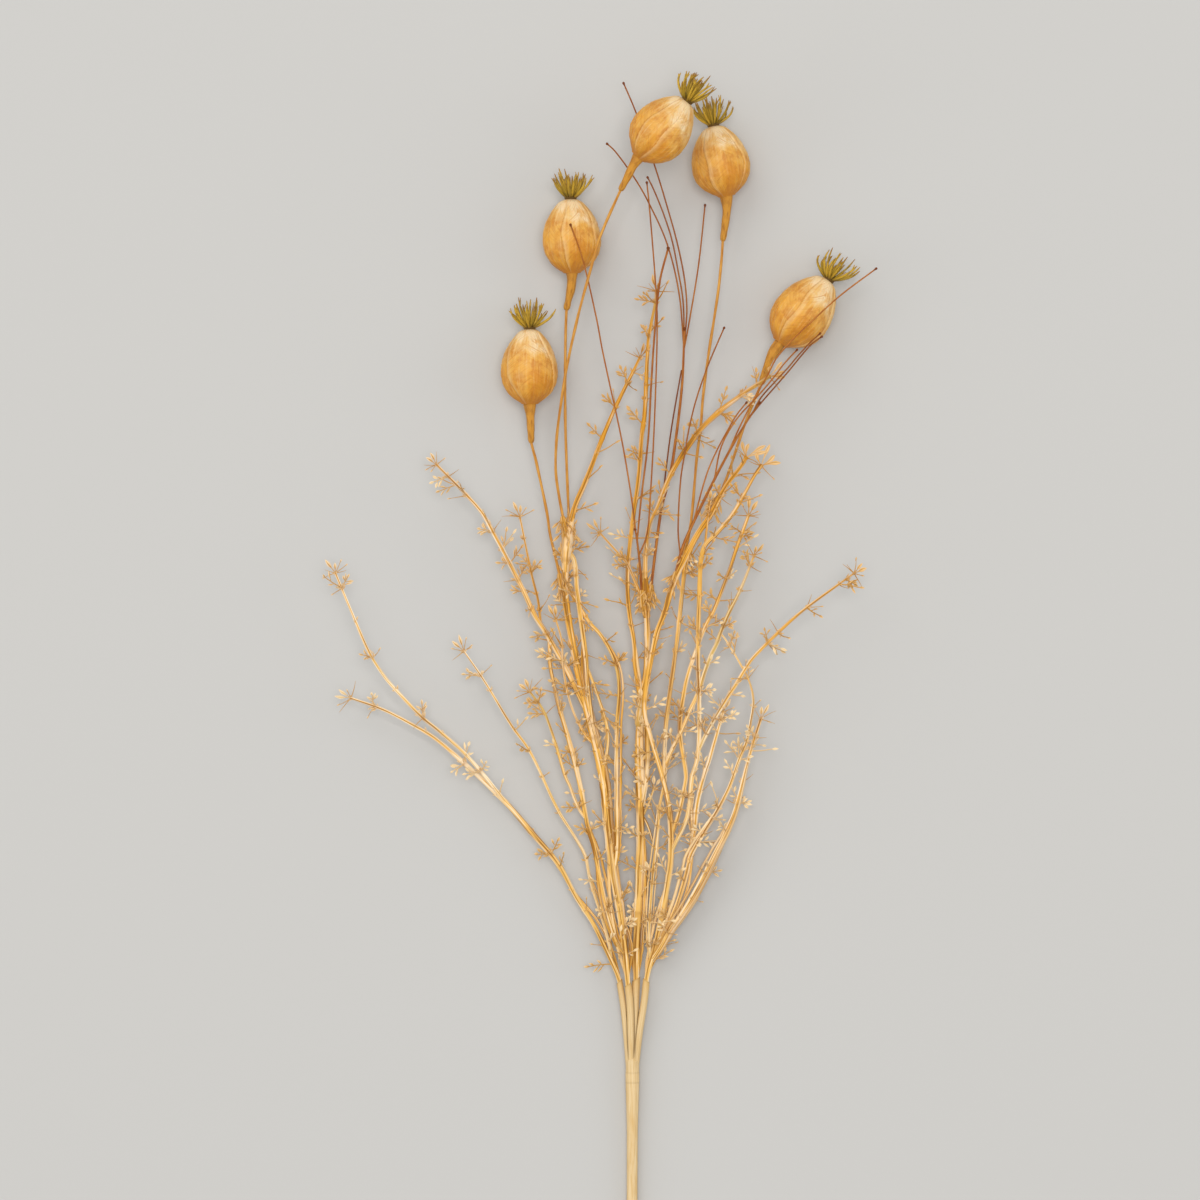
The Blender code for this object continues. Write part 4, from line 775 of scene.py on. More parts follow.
class Form:
    """Points and faces of one piece, each corner with its place on the surface and its tone."""

    def __init__(self):
        self.points = []
        self.faces = []
        self.places = []
        self.tones = []

    def skin(self, rings, spans, tones, number=0):
        """Join rings of points side by side: a ring has a span, and one tone or one for each point.

        The number sets a rod's patterns apart from those of the other rods.
        """
        first = len(self.points)
        count = len(rings[0])
        tones = [[tone] * count if isinstance(tone, tuple) else tone for tone in tones]
        for ring in rings:
            self.points.extend(ring)
        for row in range(len(rings) - 1):
            for column in range(count):
                near = first + row * count
                far = near + count
                following = (column + 1) % count
                self.faces.append((near + column, near + following, far + following, far + column))
                left, right = number + column / count, number + (column + 1) / count
                self.places += [(left, spans[row]), (right, spans[row]),
                                (right, spans[row + 1]), (left, spans[row + 1])]
                self.tones += [tones[row][column], tones[row][following],
                               tones[row + 1][following], tones[row + 1][column]]
        last = first + (len(rings) - 1) * count
        self.faces.append(tuple(reversed(range(first, first + count))))
        self.faces.append(tuple(range(last, last + count)))
        self.places += [(number, spans[0])] * count + [(number, spans[-1])] * count
        self.tones += tones[0] + tones[-1]

    def piece(self, name, material, *nodes):
        """The finished piece, riding on the body and standing for its nodes."""
        mesh = bpy.data.meshes.new(name)
        mesh.from_pydata([(x * MM, y * MM, max(z, 0) * MM) for x, y, z in self.points], [], self.faces)
        for title, values in (("place", self.places), ("tone", self.tones)):
            layer = mesh.uv_layers.new(name=title)
            layer.data.foreach_set("uv", np.array(values, dtype=float).ravel())
        form = bmesh.new()
        form.from_mesh(mesh)
        bmesh.ops.recalc_face_normals(form, faces=form.faces)
        form.to_mesh(mesh)
        form.free()
        mesh.shade_smooth()
        mesh.set_sharp_from_angle(angle=math.radians(50))
        mesh.materials.append(material)
        item = bpy.data.objects.new(name, mesh)
        bpy.context.scene.collection.objects.link(item)
        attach(item, "root")
        if nodes:
            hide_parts(*nodes)
        return item


def smooth_route(places, radii, step):
    """A finer route that runs smoothly through the places, with its radii."""
    ends = [places[0] * 2 - places[1], *places, places[-1] * 2 - places[-2]]
    fine, fine_radii = [], []
    for index in range(len(places) - 1):
        before, near, far, after = ends[index:index + 4]
        length = (far - near).length
        leaving = (far - before).normalized() * length
        arriving = (after - near).normalized() * length
        count = max(1, round(length / step))
        for number in range(count):
            t = number / count
            fine.append(near * (2 * t ** 3 - 3 * t ** 2 + 1) + leaving * (t ** 3 - 2 * t ** 2 + t)
                        + far * (3 * t ** 2 - 2 * t ** 3) + arriving * (t ** 3 - t ** 2))
            fine_radii.append(radii[index] * (1 - t) + radii[index + 1] * t)
    return [*fine, places[-1]], [*fine_radii, radii[-1]]


def frames_along(places):
    """Two side directions at each place of a route, turned as little as possible."""
    steps = [(far - near).normalized() for near, far in zip(places, places[1:])]
    ways = [steps[0], *[(a + b).normalized() for a, b in zip(steps, steps[1:])], steps[-1]]
    side = ways[0].cross(Vector((0, 0, 1)))
    if side.length < 0.05:
        side = Vector((1, 0, 0))
    frames = []
    for way in ways:
        side = (side - way * side.dot(way)).normalized()
        frames.append((side, way.cross(side)))
    return frames


def sweep(form, places, radii, sides, tones, shape=None, number=0):
    """A rod along places: shape gives a share of the radius at an angle and a span."""
    spans = lengths_along(places)
    rings = []
    for place, radius, span, (side, up) in zip(places, radii, spans, frames_along(places)):
        ring = []
        for step in range(sides):
            angle = 2 * math.pi * step / sides
            reach = radius * (shape(angle, span) if shape else 1)
            ring.append(place + (side * math.cos(angle) + up * math.sin(angle)) * reach)
        rings.append(ring)
    form.skin(rings, spans, tones, number)


def rounded(places, radii, start=False, end=True):
    """A route with its ends drawn in, so that they look round."""
    places, radii = list(places), list(radii)
    for wanted, last, before in ((end, -1, -2), (start, 0, 1)):
        if not wanted:
            continue
        way = (places[last] - places[before]).normalized()
        tip, radius = places[last], radii[last]
        extra = [(tip + way * radius * out, radius * share) for out, share in ((0.5, 0.8), (0.8, 0.4))]
        if last == 0:
            extra.reverse()
            places = [place for place, _ in extra] + places
            radii = [radius for _, radius in extra] + radii
        else:
            places += [place for place, _ in extra]
            radii += [radius for _, radius in extra]
    return places, radii


def bent(start, end, bow, count=5):
    """A route from start to end that bows aside by a vector."""
    return [start.lerp(end, index / (count - 1)) + bow * math.sin(math.pi * index / (count - 1))
            for index in range(count)]


# Twigs

LEAFLET_PROFILE = ((0.0, 0.22), (0.25, 0.8), (0.5, 1.0), (0.78, 0.62), (1.0, 0.08))


BRACT_PROFILE = ((0.0, 0.35), (0.35, 1.0), (0.7, 0.7), (1.0, 0.08))
SPOON_PROFILE = ((0.0, 0.2), (0.2, 0.24), (0.4, 0.4), (0.58, 0.8), (0.74, 1.0), (0.9, 0.66), (1.0, 0.1))


def leaflet(form, start, end, normal, width, pale, neck=0.2, cup=0.25, profile=LEAFLET_PROFILE, sides=6,
            sway=0):
    """A slim leaflet, on a hair-thin stalk where it has a neck, bent a little along its length."""
    way = (end - start).normalized()
    across = normal.cross(way).normalized()
    face = way.cross(across).normalized()
    length = (end - start).length
    joint = start.lerp(end, neck)
    if neck:
        sweep(form, [start, joint], (0.34, 0.3), 4, [(pale * 0.6, 0.8)] * 2)
    rings, spans, tones = [], [], []
    for share, wide in profile:
        middle = joint.lerp(end, share) + (face * cup + across * sway) * math.sin(math.pi * share)
        ring = []
        for step in range(sides):
            angle = 2 * math.pi / sides * step
            lift = math.sin(angle) * LEAFLET_DEPTH * wide + cup * math.cos(angle) ** 2 * wide
            ring.append(middle + across * math.cos(angle) * width / 2 * wide + face * lift)
        rings.append(ring)
        spans.append(length * share)
        tones.append((max(pale, 0.38 * share), 0.5 * (1 - share) + (0 if pale > 0.5 else LEAF_DEEP)))
    form.skin(rings, spans, tones)


def pale_share(place, draw):
    """Most trimmings are golden; some are bleached, above all the outer ones lower down."""
    outer = min(1, abs(place.x) / PALE_REACH)
    low = min(1, max(0, (PALE_TOP - place.y) / PALE_FADE))
    bleached = draw.random() < PALE_MIDDLE + (PALE_OUTER - PALE_MIDDLE) * outer * low
    return draw.uniform(0.7, 1) if bleached else draw.uniform(0, 0.35)


def dress_sprig(form, base, tip, normal, pairs, draw, closing=()):
    """A thin stalk with leaflets: those that close it, and others in turn lower down."""
    pale = pale_share(base, draw)
    length = (tip - base).length
    way = (tip - base).normalized()
    across = normal.cross(way).normalized()
    stalk = bent(base, tip, (normal * draw.uniform(-0.06, 0.06) + across * draw.uniform(-0.05, 0.05)) * length)
    sweep(form, stalk, np.linspace(0.52, 0.36, len(stalk)), 5, [(pale * 0.6, 0.8)] * len(stalk))
    for start, end in closing:
        leaflet(form, start, in_box(end), normal, draw.uniform(1.5, 2.1), pale)
    side = draw.choice((-1, 1))
    for number in range(pairs):
        share = 0.34 + 0.5 * number / max(1, pairs) + draw.uniform(0, 0.1)
        start = base.lerp(tip, share)
        lean = draw.uniform(0.4, 0.95)
        leaf_way = way * math.cos(lean) + across * math.sin(lean) * side + normal * draw.uniform(-0.4, 0.5)
        facing = (normal + across * draw.uniform(-0.7, 0.7)).normalized()
        end = in_box(start + leaf_way.normalized() * draw.uniform(4.6, 7.0))
        leaflet(form, start, end, facing, draw.uniform(1.35, 1.9), pale)
        side = -side


def dress_fan(form, trim, draw):
    """Leaflets on long stalks, which spread from a tip: broad spoons at the upper right."""
    pale = pale_share(trim.base, draw) * 0.8
    corner = spot(*SPOON_CORNER, 0)
    spoons = trim.base.x > corner.x and trim.base.y > corner.y
    for number, (base, end) in enumerate(trim.rods):
        if number in (0, len(trim.rods) - 1) and not spoons:
            dress_needle(form, base, in_box(base.lerp(end, draw.uniform(1.1, 1.6))), draw, 0.38)
            continue
        if spoons:
            for _ in range(SPOONS_PER_ROD):
                far = base.lerp(end, draw.uniform(1.3, 2.1))
                far += Vector([draw.uniform(-1.6, 1.6) for _ in range(3)])
                leaflet(form, base, in_box(far), trim.normal, draw.uniform(2.4, 3.1), draw.choice((0, 0, 0.4)),
                        0, 0.8, SPOON_PROFILE, 8, draw.uniform(-1.4, 1.4))
        else:
            far = in_box(base.lerp(end, draw.uniform(1.3, 1.7)))
            leaflet(form, base, far, trim.normal, draw.uniform(2.1, 2.8), pale, 0.35, 0.4)


def dress_tip(form, tip, way, fanned, draw):
    """Slim blades that stand close together at a branch's tip, and needles that point aside."""
    across, up = whorl_frame(way)
    blades = 0 if fanned else draw.randint(3, 5)
    for number in range(blades):
        lean = 0.9 * (number / (blades - 1) - 0.5) + draw.uniform(-0.12, 0.12)
        blade_way = way * math.cos(lean) + across * math.sin(lean) + up * draw.uniform(-0.1, 0.35)
        end = in_box(tip + blade_way.normalized() * draw.uniform(6.5, 10.5))
        leaflet(form, tip - way * 0.4, end, up, draw.uniform(1.8, 2.4), draw.choice((0, 0, 0.4)),
                draw.uniform(0.25, 0.45), 0.3)
    for side in (draw.choice((-1, 1)),) if fanned else (-1, 1):
        lean = draw.uniform(1.1, 1.8)
        aside = way * math.cos(lean) + across * math.sin(lean) * side + up * draw.uniform(-0.2, 0.4)
        end = in_box(tip + aside.normalized() * draw.uniform(4.5, 9))
        dress_needle(form, tip, end, draw, 0.38)
    dress_whorl(form, tip - way * 0.5, way, 0.9, draw, (3, 4), (1.4, 2.6), (0.5, 1.2))


def in_box(place):
    """A place drawn back so that it's above the floor and not left or right of the twigs' box."""
    left, right = spot(TWIG_SIDES[0], 0, 0).x, spot(TWIG_SIDES[1], 0, 0).x
    return Vector((min(right, max(left, place.x)), place.y, max(LOWEST_TRIM + 0.6, place.z)))


def dress_needle(form, base, end, draw, radius=0.44):
    """A fine needle; some carry a leaflet at the end."""
    side = (end - base).cross(Vector((draw.uniform(-1, 1), draw.uniform(-1, 1), 1))).normalized()
    route = bent(base, end, side * draw.uniform(-0.05, 0.05) * (end - base).length)
    pale = draw.uniform(0, 0.4)
    sweep(form, route, np.linspace(radius, 0.12, len(route)), 5, [(pale * 0.5, 1)] * len(route))
    if draw.random() < 0.5:
        way = (end - base).normalized()
        leaflet(form, end - way * 2.6, end, Vector((0, 0, 1)), 1.1, pale, neck=0.2)


def dress_whorl(form, base, direction, radius, draw, counts=(3, 7), lengths=(1.6, 3.4), leans=(0.35, 1.1),
                palest=0.5):
    """Short bracts that stand round a branch."""
    across, up = whorl_frame(direction)
    for number in range(draw.randint(*counts)):
        turn = draw.uniform(0, 2 * math.pi)
        out = across * math.cos(turn) + up * math.sin(turn)
        lean = draw.uniform(*leans)
        way = direction * math.cos(lean) + out * math.sin(lean)
        start = base + out * radius * 0.7 + direction * draw.uniform(-0.8, 0.8)
        end = start + way * draw.uniform(*lengths)
        if end.z > LOWEST_TRIM:
            leaflet(form, start, end, way.cross(direction).normalized(), draw.uniform(0.9, 1.4),
                    draw.uniform(0, palest), 0, 0.25, BRACT_PROFILE, 4)


def dress_sheath(form, places, radii, draw):
    """Narrow bracts that clasp a thick stretch of a branch and hide its even outline."""
    total = lengths_along(places)[-1]
    distance = 0.5
    while distance < total - 1:
        base, direction = along_route(places, distance)
        radius = float(np.interp(distance, lengths_along(places), radii))
        dress_whorl(form, base, direction, radius * 1.3, draw, (2, 4), (3.2, 6.5), (0.12, 0.5), 0.1)
        distance += 2.4


def dress_tuft(form, places, draw):
    """Golden leaflets that crowd round the socket of a poppy stem or wisp."""
    total = lengths_along(places)[-1]
    for distance in (0.12 * total, 0.45 * total, 0.8 * total):
        base, direction = along_route(places, distance)
        across, up = whorl_frame(direction)
        for _ in range(draw.randint(5, 8)):
            turn = draw.uniform(0, 2 * math.pi)
            out = across * math.cos(turn) + up * math.sin(turn)
            lean = draw.uniform(0.35, 1.0)
            way = direction * math.cos(lean) + out * math.sin(lean)
            start = base + out * 1.3
            end = start + way * draw.uniform(5.5, 9.5)
            if end.z > LOWEST_TRIM:
                leaflet(form, start, end, way.cross(direction).normalized(), draw.uniform(1.5, 2.2),
                        draw.choice((0, 0, 0.35)), 0.3)


def dress_strands(form, node, places, radii, surroundings, draw):
    """Strands beside a branch: thick ones at its flanks, thin pale or dark ones half sunk all round."""
    frames = frames_along(places)
    mean = sum(radii) / len(radii)
    foot = places[0].y < spot(0, FEET_BELOW, 0).y
    companions = 0 if not foot else 1 if node == "twig_left" else 2
    thick_strands = companions + (1 if mean > THIN_BRANCH and draw.random() < 0.5 else 0)
    highest = spot(0, THICK_STRANDS_BELOW, 0).y
    for strand in range(thick_strands + FINE_STRANDS):
        thick = strand < thick_strands
        turn = math.pi * strand + draw.uniform(-0.5, 0.5) if thick else draw.uniform(0, 2 * math.pi)
        drift = draw.uniform(-0.010, 0.010)
        share = draw.uniform(0.42, 0.62)
        slit = draw.choice((0.5, 0.9, 1.3)) * mean if thick else 0
        length = draw.randint(len(places) // 2 if thick else len(places) // 3, len(places) - 4)
        first = draw.randint(1, len(places) - 2 - length)
        if strand < companions:
            first, length = 1, min(len(places) - 4, draw.randint(*COMPANION_STEPS))
            slit = draw.uniform(0.9, 1.5) * mean
        route, flush, full = [], [], []
        for index in range(first, first + length, 2):
            side, up = frames[index]
            angle = turn + drift * index
            out = side * math.cos(angle) + up * math.sin(angle)
            radius = radii[index] * share if thick else 0.17 + 0.09 * radii[index]
            off = slit * math.sin(math.pi * (index - first) / length)
            place = places[index] + out * (radii[index] * 0.72 + radius * 0.45 + off)
            if (not thick or place.y < highest) and is_clear(surroundings, node, place, radius):
                route.append(place)
                flush.append(place - out * off)
                full.append(radius)
            elif len(route) > 5:
                break
            else:
                route, flush, full = [], [], []
        if len(route) < 7:
            continue
        blend = min(STRAND_BLEND, len(route) // 2)
        for number in range(blend if thick else 0):
            share = number / blend
            route[number] = flush[number].lerp(route[number], share)
            route[-1 - number] = flush[-1 - number].lerp(route[-1 - number], share)
        for number, part in enumerate((0.06, 0.35, 0.75)):
            full[number] *= part
            full[-1 - number] *= part
        pale, deep = draw.choice(((0, 0.1), (0, 0.5), (0.5, 0))) if thick else draw.choice(((0, 0.9), (0.8, 0)))
        sweep(form, route, full, 8 if thick else 5, [(pale, deep)] * len(route), number=17 + strand * 0.31)


def is_clear(surroundings, node, place, radius):
    """Whether a round place keeps clear of all other nodes, the sleeves included."""
    foreign = surroundings.node_array != node
    limit = surroundings.radius_array + radius + GAP
    near = (surroundings.distances(np.array(place)) < limit)[foreign].any()
    return not near and place.y > spot(0, SLEEVE_MOUTH_PIXEL, 0).y and place.z - radius > LOWEST_TRIM


def swelling(place, bases):
    """How near a place is to a whorl, from 0 to 1."""
    gap = np.linalg.norm(bases - np.array(place), axis=1).min()
    return math.exp(-(gap / WHORL_REACH) ** 2)


def lay_fine_sprigs(name, branches, laid, surroundings, draw):
    """Places of the finer whorls, with sprigs and needles that keep clear of other pieces."""
    whorls = []
    for key, item in branches.items():
        if not item.whorls:
            continue
        places, radii = laid[key]
        total = lengths_along(places)[-1]
        distance = draw.uniform(6, 14)
        while distance < total - 4:
            base, direction = along_route(places, distance)
            distance += draw.uniform(*FINE_PITCHES.get(name, FINE_PITCH))
            if base.y < spot(0, FINE_FOOT_PIXEL, 0).y:
                continue
            across, up = whorl_frame(direction)
            sprigs, needles = [], []
            for _ in range(draw.choice(FINE_COUNTS.get(name, FINE_COUNT))):
                plain = draw.random() < NEEDLE_SHARE
                for _ in range(FINE_TRIES):
                    turn = math.radians(draw.uniform(-45, 80))
                    outward = across * math.cos(turn) * draw.choice((-1, 1)) + up * math.sin(turn)
                    lean = math.radians(draw.uniform(28, 85))
                    way = (direction * math.cos(lean) + outward * math.sin(lean)).normalized()
                    tip = base + way * draw.uniform(5, 14)
                    trim = Trim("fine", base, way, way.cross(direction).normalized(), None, [(base, tip)])
                    if surroundings.accepts(name, trim, 4):
                        (needles if plain else sprigs).append(trim)
                        break
            whorls.append((base, direction, sprigs, needles))
    return whorls


def dress_twig(name, laid, trims, sockets, surroundings, material):
    draw = random.Random(name)
    form = Form()
    whorls = lay_fine_sprigs(name, TWIGS[name], laid, surroundings, draw)
    knots = np.array([tuple(trim.base) for trim in trims])
    bases = np.array([tuple(trim.base) for trim in trims] + [tuple(base) for base, *_ in whorls])
    for number, (places, radii) in enumerate(laid.values()):
        fine, fine_radii = smooth_route(places, radii, 1.6)
        phase = draw.uniform(0, 6)
        near = [swelling(place, bases) for place in fine]
        full = [radius * ROD_SHARE * (1 + 0.015 * math.sin(0.9 * index + phase) + 0.12 * joint)
                for index, (radius, joint) in enumerate(zip(fine_radii, near))]
        if len(fine) > 12:
            dress_strands(form, name, fine, full, surroundings, draw)
        fine, full = rounded(fine, full, start=True)
        dark = [swelling(place, knots) for place in fine]
        if places[0].y < spot(0, SLEEVE_MOUTH_PIXEL, 0).y:
            full = [radius * min(1, 0.55 + 0.07 * index) for index, radius in enumerate(full)]

        def groove(angle, span, phase=phase):
            return 1 + 0.05 * math.cos(2 * angle) - 0.10 * math.cos(4 * angle) + 0.03 * math.cos(0.2 * span + phase)

        sweep(form, fine, full, 12, [(0, 0.7 * share) for share in dark], groove, number)
    for places in sockets:
        boss = list(reversed(route_end(places, SOCKET_DEPTH, 1.6)))
        fine, _ = smooth_route(boss, [1] * len(boss), 1.2)
        count = len(fine)
        wide = STEM_RADIUS + GAP + SOCKET_WALL
        radii = [wide * (0.55 + 0.45 * math.sin(math.pi * (0.12 + 0.76 * index / (count - 1))) ** 0.5)
                 for index in range(count)]
        sweep(form, *rounded(fine, radii, start=True), 12, [(0, 0.6)] * (count + 4))
        dress_sheath(form, fine, radii, draw)
        dress_tuft(form, fine, draw)
    for key, item in TWIGS[name].items():
        places, radii = laid[key]
        if item.tip:
            way = (places[-1] - places[-2]).normalized()
            fanned = any(trim.kind == "fan" and (trim.base - places[-1]).length < 1 for trim in trims)
            dress_tip(form, places[-1], way, fanned, draw)
        elif item.end_on and not item.whorls:
            dress_sheath(form, *smooth_route(places, radii, 2.0), draw)
    for trim in trims:
        if trim.kind == "sprig":
            dress_sprig(form, *trim.rods[0], trim.normal, draw.choice((1, 2, 3)), draw, trim.rods[1:])
            dress_whorl(form, trim.base, nearest_way(laid, trim.base), 1.2, draw, (6, 10), (2.0, 4.8),
                        palest=0.15)
        elif trim.kind == "fan":
            dress_fan(form, trim, draw)
        else:
            dress_needle(form, *trim.rods[0], draw)
    for near_pixel, far_pixel in FOOT_SPRIGS.get(name, ()):
        places = [place for route, _ in laid.values() for place in route]
        base = min(places, key=lambda place: (place.xy - spot(*near_pixel, 0).xy).length)
        tip = spot(*far_pixel, base.z + 1.5)
        way = (tip - base).normalized()
        dress_sprig(form, base, tip, Vector((0, 0, 1)), 4, draw, [(tip, tip + way * 5)])
    for base, direction, sprigs, needles in whorls:
        dress_whorl(form, base, direction, 1.2, draw)
        for trim in sprigs:
            base, tip = trim.rods[0][0], in_box(trim.rods[0][1])
            end = tip + trim.way * draw.uniform(4, 6)
            dress_sprig(form, base, tip, trim.normal, draw.randint(0, 3), draw, [(tip, end)])
        for trim in needles:
            dress_needle(form, *trim.rods[0], draw, 0.38)
    return form.piece(name + "_look", material, name)


def nearest_way(laid, base):
    """The direction of the branch that a trimming grows from."""
    best = None
    for places, _ in laid.values():
        for near, far in zip(places, places[1:]):
            run = far - near
            share = min(1, max(0, (base - near).dot(run) / run.length_squared))
            gap = (near + run * share - base).length
            if best is None or gap < best[0]:
                best = (gap, run.normalized())
    return best[1]


# Poppies

def petal_rise(turn, share, edges, wander):
    """How far round its petal a place is, from 0 just past one edge to 1 at the next."""
    turn += 0.025 * math.sin(3.1 * share + wander) + 0.005 * math.sin(13 * share + 2 * wander) + 0.04 * share
    turn %= 1
    for petal in range(len(edges) - 1):
        if edges[petal] <= turn < edges[petal + 1]:
            return (turn - edges[petal]) / (edges[petal + 1] - edges[petal]), petal % POD_PETALS
    return 0, 0


def dress_pod(number, poppy, laid, material):
    draw = random.Random(500 + number)
    seat, axis, length = pod_frame(poppy)
    neck, neck_radii, _, _ = laid
    side = Vector((0, 0, 1))
    up = (side - axis * side.dot(axis)).normalized()
    across = axis.cross(up).normalized()
    folds = [(draw.randint(3, 4), draw.uniform(0, 6.3), 0.30), (draw.randint(6, 8), draw.uniform(0, 6.3), 0.22),
             (draw.randint(13, 17), draw.uniform(0, 6.3), 0.16), (draw.randint(27, 35), draw.uniform(0, 6.3), 0.10)]
    wander = draw.uniform(0, 6.3)
    first = draw.random()
    cuts = sorted((first + (petal + draw.uniform(-0.28, 0.28)) / POD_PETALS) % 1 for petal in range(POD_PETALS))
    edges = [cuts[-1] - 1, *cuts, cuts[0] + 1]
    heights = [draw.uniform(0.45, 1) for _ in range(POD_PETALS)]
    droops = [draw.uniform(-1, 1) for _ in range(POD_PETALS)]
    bulges = [draw.uniform(-0.4, 0.4) for _ in range(POD_PETALS)]
    form = Form()
    rings, spans, tones = [], [], []
    for row in range(POD_ROWS + 1):
        share = (1 - math.cos(math.pi * row / POD_ROWS)) / 2
        radius = outline_radius(share) * poppy.radius
        fade = min(1, 7 * share) * min(1, 12 * (1 - share))
        ends = 0.35 + 0.65 * min(1, abs(share - 0.45) / 0.4) ** 2
        ring, ring_tones = [], []
        for column in range(POD_COLUMNS):
            turn = column / POD_COLUMNS
            rise, petal = petal_rise(turn, share, edges, wander)
            lip = min(1, (1 - rise) / 0.04)
            step = POD_STEP * heights[petal] * (rise ** 2 * lip - 0.5)
            bulge = bulges[petal] * math.sin(math.pi * rise) * math.sin(math.pi * share)
            rib = 0.22 * math.exp(-((rise - 0.5) / 0.03) ** 2) * math.sin(math.pi * share)
            rib += 0.07 * math.sin(2 * math.pi * (13 * share - 5 * abs(rise - 0.5))) * math.sin(math.pi * rise)
            fold = sum(depth * math.sin(2 * math.pi * count * (turn + 0.09 * share) + phase)
                       for count, phase, depth in folds) * ends
            reach = radius + (step + bulge + rib + fold - 0.25) * fade
            droop = droops[petal] * 0.9 * math.sin(math.pi * rise) * min(1, max(0, (share - 0.7) / 0.2)) * fade
            angle = 2 * math.pi * turn
            ring.append(seat - axis * (length * share + droop)
                        + (across * math.sin(angle) - up * math.cos(angle)) * reach)
            ring_tones.append((rise, 0))
        rings.append(ring)
        spans.append(share)
        tones.append(ring_tones)
    form.skin(rings, spans, tones)
    dress_neck(form, neck, neck_radii, draw)
    return form.piece(f"pod_{number}_look", material, f"pod_{number}")


def outline_radius(share):
    """The pod's radius at a share of its length, read smoothly from its outline."""
    shares, wides = zip((-0.002, 0.08), (0.008, 0.22), (0.025, 0.33), *POD_OUTLINE[1:])
    blur = 0.025 * min(1, share / 0.1)
    return sum(float(np.interp(share + shift, shares, wides))
               for shift in (-blur, -blur / 2, 0, blur / 2, blur)) / 5


def dress_neck(form, neck, radii, draw):
    fine, fine_radii = smooth_route(neck, radii, 1.0)
    count = len(fine)
    phase = draw.uniform(0, 6)
    full = [radius * (0.95 + 0.14 * math.exp(-((index / count - 0.9) / 0.06) ** 2)
                      + 0.07 * math.sin(11 * index / count + phase))
            for index, radius in enumerate(fine_radii)]
    fine, full = rounded(fine, full)

    def ribs(angle, span):
        return (0.98 + 0.07 * math.cos(3 * angle + 0.12 * span + phase)
                + 0.04 * math.cos(7 * angle - 0.09 * span) + 0.02 * math.cos(13 * angle + 0.05 * span))

    sweep(form, fine, full, 28, [(0.5, 1)] * len(fine), ribs)


def dress_crown(number, poppy, bristles, material):
    draw = random.Random(700 + number)
    seat, axis, _ = pod_frame(poppy)
    form = Form()
    base = seat + axis * GAP
    top = base + axis * CROWN_COLLAR_HEIGHT
    heel = base - axis * CROWN_PEG_DEPTH * 0.6
    # The collar takes the tone of the bristles' dark bases, partly painted shade.
    sweep(form, [heel, base, base.lerp(top, 0.5), top],
          (CROWN_PEG_RADIUS * 0.9, CROWN_COLLAR_RADIUS * 0.8, CROWN_COLLAR_RADIUS * 0.84, CROWN_COLLAR_RADIUS * 0.5),
          16, [(0.1, 0)] * 4)
    for index in range(BRISTLES + FINE_BRISTLES):
        if index < len(bristles):
            start, end = bristles[index]
            thick = draw.uniform(0.6, 0.86)
        elif index < BRISTLES:
            continue
        else:
            start, end = draw.choice(bristles)
            other = draw.choice(bristles)
            start = start.lerp(other[0], draw.uniform(0.2, 0.5))
            way = (end.lerp(other[1], draw.uniform(0.2, 0.5)) - start).normalized()
            end = start + way * (end - start).length * draw.uniform(0.5, 0.9)
            thick = 0.42
        way = end - start
        out = way - axis * way.dot(axis)
        heel = start - way.normalized() * 0.6 - axis * 1.4
        end = end - out * draw.uniform(0.0, 0.36) + up_aside(way, draw) * draw.uniform(0, 1.2)
        bow = out * draw.uniform(0.04, 0.22) + up_aside(way, draw) * draw.uniform(0, 1.1)
        route = [heel, *bent(start, end, bow, 8)]
        shade = draw.random()
        spans = np.linspace(0, 1, len(route))
        full = np.interp(spans, (0, 0.25, 0.8, 1), (thick, thick * 1.1, thick * 0.85, thick * 0.3))
        route = [below_top(place) for place in route]
        sweep(form, route, full, 6, [(shade, float(span)) for span in spans])
        if draw.random() < FORKED_BRISTLES:
            fork = route[-3]
            tip = below_top(fork + (route[-1] - fork) * 0.9 + up_aside(way, draw) * 2.0)
            sweep(form, [fork, fork.lerp(tip, 0.6), tip], (thick * 0.7, thick * 0.6, thick * 0.25), 5,
                  [(shade, 0.7), (shade, 0.85), (shade, 1)])
    return form.piece(f"crown_{number}_look", material, f"crown_{number}")


def below_top(place):
    """The place, held just under the height of the solids."""
    return Vector((place.x, place.y, min(place.z, HIGHEST_BRISTLE)))


def up_aside(way, draw):
    """A random direction square to a way."""
    other = Vector((draw.uniform(-1, 1), draw.uniform(-1, 1), draw.uniform(-1, 1)))
    return way.cross(other).normalized()


def dress_stem(name, places, radii, material):
    draw = random.Random(name)
    form = Form()
    fine, full = smooth_route(places, radii, 2.0)
    phase = draw.uniform(0, 6)
    full = [radius * STEM_SHARE * (1 + 0.05 * math.sin(0.35 * index + phase))
            for index, radius in enumerate(full)]

    def ribs(angle, span):
        return 1 + 0.05 * math.cos(2 * angle + 0.25 * span)

    sweep(form, fine, full, 10, [(0, index / (len(fine) - 1)) for index in range(len(fine))], ribs)
    return form.piece(name + "_look", material, name)


